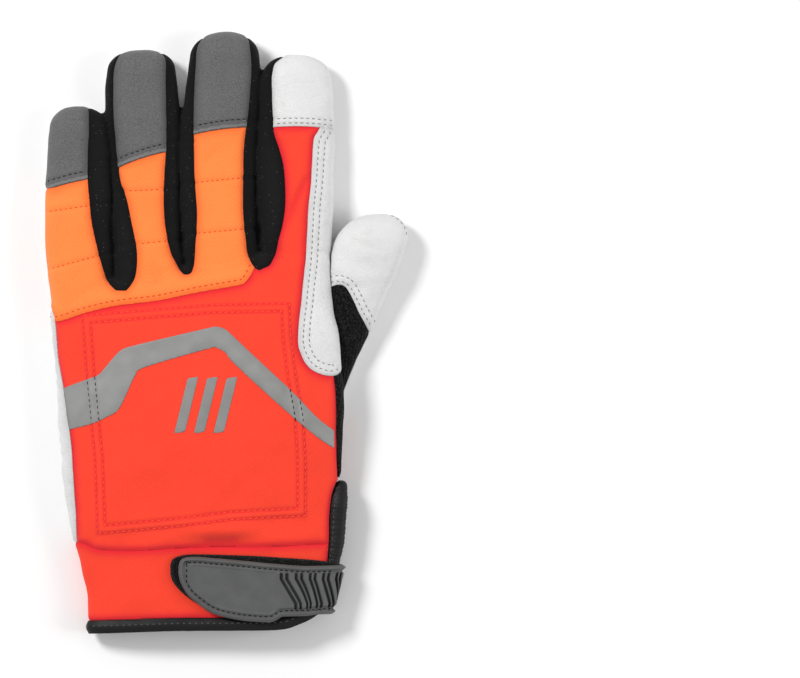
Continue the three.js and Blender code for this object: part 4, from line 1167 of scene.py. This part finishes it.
def strap_points(y, arcs, lift):
    """Points on the cuff at a y, at arcs from the palm's middle, and at a lift off the cloth."""
    ring = section_ring(hand_section(y / CUFF_LENGTH), (lift, lift, lift), STRAP_SIDES)
    half = STRAP_SIDES // 2
    path = ring[(half - np.arange(STRAP_PATH)) % STRAP_SIDES]
    steps = run_length(path)
    start = np.interp(STRAP_START, path[:half + 1, 0], steps[:half + 1])
    place = np.stack([np.interp(start + arcs - STRAP_START, steps, column) for column in path.T], 1)
    place[:, 0] -= STRAP_LEAN * np.clip((30 - y) / 18, 0, 1) * ramp(place[:, 0], 46, 62)
    return place


def strap(edges, end, columns, rows, lift, thickness, profile):
    """A closed strip: its arcs run from the rounded end to the end on the underside."""
    first = edges[0, 0] * PALM_WIDTH / 2
    shares = np.linspace(0, 1, columns)
    arcs = first + (end - first) * np.where(shares < 0.08, 0.08 * (shares / 0.08) ** 1.6, shares)
    low, high = (read_table(edges, k, arcs / (PALM_WIDTH / 2)) * CUFF_LENGTH for k in (1, 2))
    across = (1 - np.cos(np.linspace(0, math.pi, rows))) / 2 * 0.25 + np.linspace(0, 1, rows) * 0.75
    ys = (low[:, None] + (high - low)[:, None] * across).ravel()
    flat_points = np.stack([np.repeat(arcs, rows), ys], 1)
    outline = np.vstack([np.stack([arcs, low], 1), np.stack([arcs, high], 1)[::-1]])
    height, edge = profile(flat_points, np.maximum(region_depth(flat_points, outline), 0), thickness)
    sample_y = np.linspace(min(low), max(high), STRAP_SAMPLES)
    t = (ys - sample_y[0]) / (sample_y[-1] - sample_y[0]) * (STRAP_SAMPLES - 1)
    i = np.clip(t.astype(int), 0, STRAP_SAMPLES - 2)
    f = (t - i)[:, None]
    column = np.repeat(np.arange(columns), rows)
    layers = []
    for layer_lift in (lift, lift + thickness):
        samples = np.array([strap_points(y, arcs, layer_lift) for y in sample_y])
        layers.append(samples[i, column] * (1 - f) + samples[i + 1, column] * f)
    inner, top = layers
    outer = inner + (top - inner) * (height / thickness)[:, None]
    grid = np.arange(columns * rows).reshape(columns, rows)
    return np.vstack([outer, inner]), sheet_faces(grid), np.concatenate([edge, np.zeros(len(inner))])


def plain_profile(points, depth, thickness):
    """A flat strip, thinner at its edges."""
    wobble = 0.06 * np.sin(points[:, 0] * 0.7) * np.sin(points[:, 1] * 0.5)
    return thickness * (1 - 0.5 * np.exp(-((depth / 0.5) ** 2))) + wobble, np.zeros(len(points))


# The grip of the tab: pairs of slots that lean to the thumb side on their way down
GRIP_START, GRIP_PITCH, GRIP_GAP = 40.0, 6.49, 2.4
GRIP_LEAN = 6.27
GRIP_PAIRS = 7


def tab_profile(points, depth, thickness):
    """A raised rim, a sewn channel inside it, a sunk plate and the grip, with painted shade in the channel
    and the slots.
    """
    x, y = points.T
    height = thickness * (1 - 0.55 * np.exp(-((depth / 0.55) ** 2)))
    height -= 0.5 * ramp(depth, 1.5, 2.0)
    height -= 0.35 * np.exp(-(((depth - TAB_CHANNEL) / 0.5) ** 2))
    height += 0.55 * ramp(x, 38.0, 39.2) * ramp(depth, 3.2, 3.8)
    height -= 0.22 * (ramp(x, 1.5, 2.6) * (1 - ramp(x, 36.4, 37.4)) * ramp(depth, 3.6, 4.2))
    # Painted shade in the sewn channel
    edge = 0.3 * np.exp(-(((depth - TAB_CHANNEL) / 0.45) ** 2))
    first = GRIP_START + GRIP_LEAN * np.clip((24.2 - y) / 10.6, 0, 1)
    fade = ramp(y, 9.8, 11.2) * (1 - ramp(y, 26.2, 27.4))
    for start in (pair * GRIP_PITCH + k * GRIP_GAP for pair in range(GRIP_PAIRS) for k in range(2)):
        slot = np.exp(-(((x - first - start) / 0.68) ** 4)) * fade
        height -= 1.5 * slot * ramp(depth, 2.8, 3.3)
        # Painted shade in each slot
        edge = np.maximum(edge, 0.95 * slot)
    return height, np.clip(edge, 0, 1)


verts, faces, edge = strap(
    HOOK_EDGES, end=96.0, columns=170, rows=30, lift=0.35, thickness=1.7, profile=plain_profile
)
make("hook_strap_tape", verts, faces, HOOKS, ["hook_strap"], "hook_tape", edge)
verts, faces, edge = strap(
    TAB_EDGES, end=82.0, columns=360, rows=84, lift=2.15, thickness=2.2, profile=tab_profile
)
tab_tree = tree_of((verts, faces))
make("closure_tab_moulding", verts, faces, RUBBER, ["closure_tab"], "grey_rubber", edge)

# Rolled binding of the slit


def surface_heights(along, x):
    """Heights of the hand's underside and of its back at a place."""
    section = hand_section(along)
    t = np.clip((x - section["centre"][0]) / section["half_width"], -1, 1)
    share = (t + 1) / 2
    mid, floor = section["mid"], section["floor"]
    middle = mix(mid[0], mid[1], share)
    power = HAND_POWERS[0]
    rise = (1 - abs(t) ** power) ** (1 / power)
    low = max(mix(floor[0], floor[1], share), middle - rise * section["down"])
    return low, middle + rise * (section["top"] - (mid[0] + mid[1]) / 2)


def roll_leg(along, width, back):
    """A point of the binding's path and its width, on the back or on the underside."""
    y = height_along(along)
    order = np.argsort(slit_line[:, 1])
    x = float(np.interp(y, slit_line[order, 1], slit_line[order, 0]))
    low, high = surface_heights(along, x)
    z = high - ROLL_INSET if back else low + ROLL_INSET
    return np.array([x + width / 2 - 0.25, y, z, width / ROLL_WIDTH])


# Along the glove, and the width there
ROLL_ROWS = [(0.62, 4.2), (0.72, 4.6), (0.86, 5.4), (1.02, 6.8), (1.1, 7.3), (1.16, 7.2)]
ROLL_UNDER = 0.9  # share of the width on the underside
upper_leg = [roll_leg(along, width, True) for along, width in ROLL_ROWS]
lower_leg = [roll_leg(along, width * ROLL_UNDER, False) for along, width in ROLL_ROWS[::-1]]
turn = (upper_leg[-1] + lower_leg[0]) / 2 + np.array([0.14 * ROLL_WIDTH, 1.05 * ROLL_WIDTH, 0, -0.25])
path = smooth_line([*upper_leg, turn, *lower_leg], per=16)
roll_path, widths = path[:, :3], path[:, 3]
tangents = units(np.gradient(roll_path, axis=0))
wide = units(np.array([1.0, 0, 0]) - tangents * tangents[:, :1])
high = np.cross(tangents, wide)
steps = np.arange(len(path))
pucker = 1 + 0.03 * np.sin(steps * 1.9) + 0.02 * np.sin(steps * 0.7)
angles = 2 * math.pi * np.arange(28) / 28
round_x, round_z = (np.sign(wave) * np.abs(wave) ** 0.85 for wave in (np.cos(angles), np.sin(angles)))
groove = 1 - sum(0.1 * np.exp(-(((angles - at) / 0.16) ** 2)) for at in (2.2, 4.1))
sideways = np.outer(widths * pucker, round_x * groove) * ROLL_WIDTH / 2
upwards = np.outer(pucker, round_z * groove) * ROLL_HEIGHT / 2
rings = roll_path[:, None] + sideways[..., None] * wide[:, None] + upwards[..., None] * high[:, None]
verts, faces = loft(rings)
roll_tree = tree_of((verts, faces))
make("slit_binding_roll", verts, faces, BINDING, ["slit_binding"], "black_binding", np.zeros(len(verts)))

# Inner faces of the walls, and the saw guard under the cloth of the back

INNER_SKIN = (-(BACK_WALL + PALM_WALL) / 2 + 0.1, -BACK_WALL + 0.1, -PALM_WALL + 0.2)
INNER_VOXEL = 1.7
inner_tubes = hand_skins(INNER_SKIN, INNER_SKIN, hand_sides=64, finger_sides=32, step=0.04)
verts, tris = remeshed(inner_tubes, INNER_VOXEL)
verts = relaxed(verts, tris, 2)
inner = skin_of(verts, verts, tris)
_, inner = cut(inner, beside(slit_line))
_, inner = cut(inner, below(shifted(hem_line, 1.2)))
verts, faces = inner[0][:, 3:6], inner[1][:, ::-1]
make("inner_faces", verts, faces, INNER, (), "black_cloth", np.zeros(len(verts)))

PAD_ROWS, PAD_COLUMNS = 40, 44
PAD_THICKNESS = 2.9
PAD_THINNING = 1.3  # how much thinner the pad is at its rim
ys = np.linspace(guard_inner[:, 1].min() + 1, guard_inner[:, 1].max() - 1, PAD_ROWS)
lows, highs = [], []
for y in ys:
    along = 1 + (y - CUFF_LENGTH) / HAND_LENGTH
    crossing = []
    for a, b in zip(guard_inner, np.roll(guard_inner, -1, axis=0)):
        if (a[1] - y) * (b[1] - y) <= 0 and a[1] != b[1]:
            crossing.append(mix(a[0], b[0], (y - a[1]) / (b[1] - a[1])))
    left, right = min(crossing), max(crossing)
    for x in np.linspace(left, right, PAD_COLUMNS):
        top = surface_heights(along, x)[1] - BACK_WALL - 0.1
        rim = min(x - left, right - x, y - ys[0], ys[-1] - y)
        thinner = PAD_THINNING * math.exp(-((rim / 2.0) ** 2))
        highs.append((x, y, top - 0.25 * thinner))
        lows.append((x, y, top - PAD_THICKNESS + thinner))
verts = np.vstack([highs, lows])
faces = sheet_faces(np.arange(PAD_ROWS * PAD_COLUMNS).reshape(PAD_ROWS, PAD_COLUMNS).T)
guard = make("saw_guard_pad", verts, faces, GUARD, ["saw_guard"], "guard_fibre", np.zeros(len(verts)))

# Stitches: short threads that dip into the cloth at both ends

surface_tree = tree_of(*shells.values())
thumb_tree = tree_of(shells["thumb"])
ABOVE = 60.0  # higher than the glove
DOWN = Vector((0, 0, -1))
STITCH_RINGS, STITCH_SIDES = 5, 6
THUMB_TOP_ROW = [(77.0, 181.2), (82.0, 181.9), (86.8, 181.0), (90.6, 178.8), (93.2, 175.2), (94.0, 172.0)]


def dropped(tree, place):
    """Where a surface is met from straight above, and its normal there."""
    return tree.ray_cast(Vector((place[0], place[1], ABOVE)), DOWN)[:2]


def resampled(line, pitch, closed):
    """The middles of equal steps along a line."""
    line = np.vstack([line, line[:1]]) if closed else np.asarray(line, float)
    steps = run_length(line)
    count = max(1, int(steps[-1] / pitch))
    places = (np.arange(count) + 0.5) * steps[-1] / count
    return np.stack([np.interp(places, steps, column) for column in line.T], 1)


def stitches(line, pitch, length, radius, tree=surface_tree, closed=False, within=None):
    """Points and faces of the stitches of one line, dropped on a surface from above."""
    middles = resampled(line, pitch, closed)
    ahead = np.roll(middles, -1, axis=0) - middles
    if not closed:
        ahead[-1] = ahead[-2] if len(ahead) > 1 else line[-1] - line[0]
    angles = 2 * math.pi * np.arange(STITCH_SIDES) / STITCH_SIDES
    points, faces = [], []
    for middle, direction in zip(middles, ahead):
        if within is not None and not within(middle):
            continue
        hit, normal = dropped(tree, middle)
        if hit is None or normal.z < 0.15:
            continue
        normal = np.array(normal)
        forward = np.array([direction[0], direction[1], 0.0])
        forward -= normal * (forward @ normal)
        forward /= np.linalg.norm(forward)
        wide, tall = np.outer(np.cos(angles), np.cross(normal, forward)), np.outer(np.sin(angles), normal)
        faces += tube_faces(len(points) * STITCH_SIDES, STITCH_RINGS, STITCH_SIDES)
        for t in np.linspace(-1, 1, STITCH_RINGS):
            centre = np.array(hit) + forward * t * length / 2 + normal * radius * (0.55 - 1.15 * t * t)
            size = radius * (1 - 0.35 * t * t)
            points.append(centre + wide * size + tall * size * 0.8)
    return np.reshape(points, (-1, 3)), faces


def rows(lines, **settings):
    """Rows of stitches that share their settings."""
    return [stitches(line, **settings) for line in lines]


def sew(name, colour, parts, slot):
    make(name, *joined(parts), THREADS[colour], (), slot)


def clear_of(outlines, gap):
    """A test that a place keeps a gap from all the outlines."""
    return lambda place: all(region_depth(np.array([place]), outline)[0] < -gap for outline in outlines)


def on_thumb(place):
    """Whether the thumb is the uppermost surface at a place."""
    own, top = (dropped(tree, place)[0] for tree in (thumb_tree, surface_tree))
    return own is not None and top is not None and abs(own.z - top.z) < 0.1


guard_rows = (guard_outline, guard_inner)
off_band = clear_of([band_outline], 0)
off_forks = clear_of(list(forks.values()), 0.8)
off_index_tip = clear_of([tips["index"]], 0.8)
sew("stitches_guard", "red",
    rows(guard_rows, closed=True, within=off_band, pitch=2.6, length=1.5, radius=0.3), "red_cloth")
sew("stitches_on_band", "dark",
    rows(guard_rows, closed=True, tree=band_tree, pitch=2.5, length=1.6, radius=0.2), "reflective_tape")
cross_rows = [cross_line(*cross, reach=0.9) for cross in CROSS_LINES]
KNUCKLE_ROW_END = 28.5  # x, just short of the seam's end
sew("stitches_knuckles", "orange",
    rows(cross_rows, within=off_forks, pitch=2.2, length=1.2, radius=0.2)
    + rows([knuckle_row], within=lambda p: off_forks(p) and p[0] < KNUCKLE_ROW_END,
           pitch=2.5, length=1.5, radius=0.25),
    "orange_cloth")
grey_rows = [tip_rows[name][0][2:-2] for name in ("pinky", "ring", "middle")]
sew("stitches_fingertips", "dark",
    rows(grey_rows, within=off_forks, pitch=2.3, length=1.7, radius=0.22), "grey_cloth")
fine = {"pitch": 2.4, "length": 1.5, "radius": 0.2}
sew("stitches_leather", "grey",
    rows(side_rows, within=off_index_tip, **fine)
    + rows(tip_rows["index"], within=off_forks, **fine)
    + rows([*gusset_rows, smooth_line(THUMB_TOP_ROW)], within=on_thumb, **fine),
    "white_leather")
HEM_ROW_END = 46  # x, where the hem turns up to the slit
sew("stitches_hem", "binding",
    rows([hem_row], within=lambda p: p[0] < HEM_ROW_END, pitch=2.6, length=1.0, radius=0.25), "black_binding")
xs = np.linspace(-3.2, 62, 60)
tab_low, tab_high = (
    np.stack([xs, read_table(TAB_EDGES, k, xs / (PALM_WIDTH / 2)) * CUFF_LENGTH], 1) for k in (1, 2)
)
tab_row = shifted(np.vstack([tab_low[::-1], tab_high]), -TAB_CHANNEL)
sew("stitches_tab", "black",
    rows([tab_row], tree=tab_tree, pitch=2.3, length=1.6, radius=0.24), "grey_rubber")
roll_row = roll_path[: len(roll_path) // 2, :2] - [ROLL_WIDTH * 0.3, 0]
sew("stitches_roll", "binding",
    rows([roll_row], tree=roll_tree, pitch=2.4, length=1.4, radius=0.2), "black_binding")

# Stage, light and camera, framed as the photograph, in metres

FLOOR_REACH, FLOOR_Z = 3, -0.0002
mesh = bpy.data.meshes.new("floor")
corners = [(x * FLOOR_REACH, y * FLOOR_REACH, FLOOR_Z) for x, y in ((-1, -1), (1, -1), (1, 1), (-1, 1))]
mesh.from_pydata(corners, [], [(0, 1, 2, 3)])
floor = link("floor", mesh)
paper = Shader("white_paper", (0.93, 0.93, 0.93))
mesh.materials.append(paper.done(Roughness=0.9, Specular_IOR_Level=0.1))

world = bpy.data.worlds.new("studio")
bpy.context.scene.world = world
world.use_nodes = True
background = world.node_tree.nodes["Background"]
background.inputs["Color"].default_value = (1, 1, 1, 1)
background.inputs["Strength"].default_value = 0.5


def area_light(name, place, size, power):
    """A round light that points at the middle of the glove."""
    data = bpy.data.lights.new(name, "AREA")
    data.shape = "DISK"
    data.size = size
    data.energy = power
    item = link(name, data)
    item.location = place
    item.rotation_euler = (-Vector(place)).to_track_quat("-Z", "Y").to_euler()


area_light("key", (-0.95, 0.75, 1.35), 0.5, 22.0)
area_light("fill", (1.3, -0.1, 0.8), 0.9, 8.0)

PHOTO_WIDTH = 800  # pixels
SCALE = 0.43261  # millimetres to a pixel of the photograph
SENSOR = 36
DISTANCE = 4.0
data = bpy.data.cameras.new("camera")
data.sensor_width = SENSOR
data.lens = SENSOR * DISTANCE / (PHOTO_WIDTH * SCALE / 1000)
camera = link("camera", data)
camera.location = (0.0748, -0.0022, DISTANCE)
scene = bpy.context.scene
scene.camera = camera
scene.view_settings.view_transform = "Standard"
scene.view_settings.look = "None"
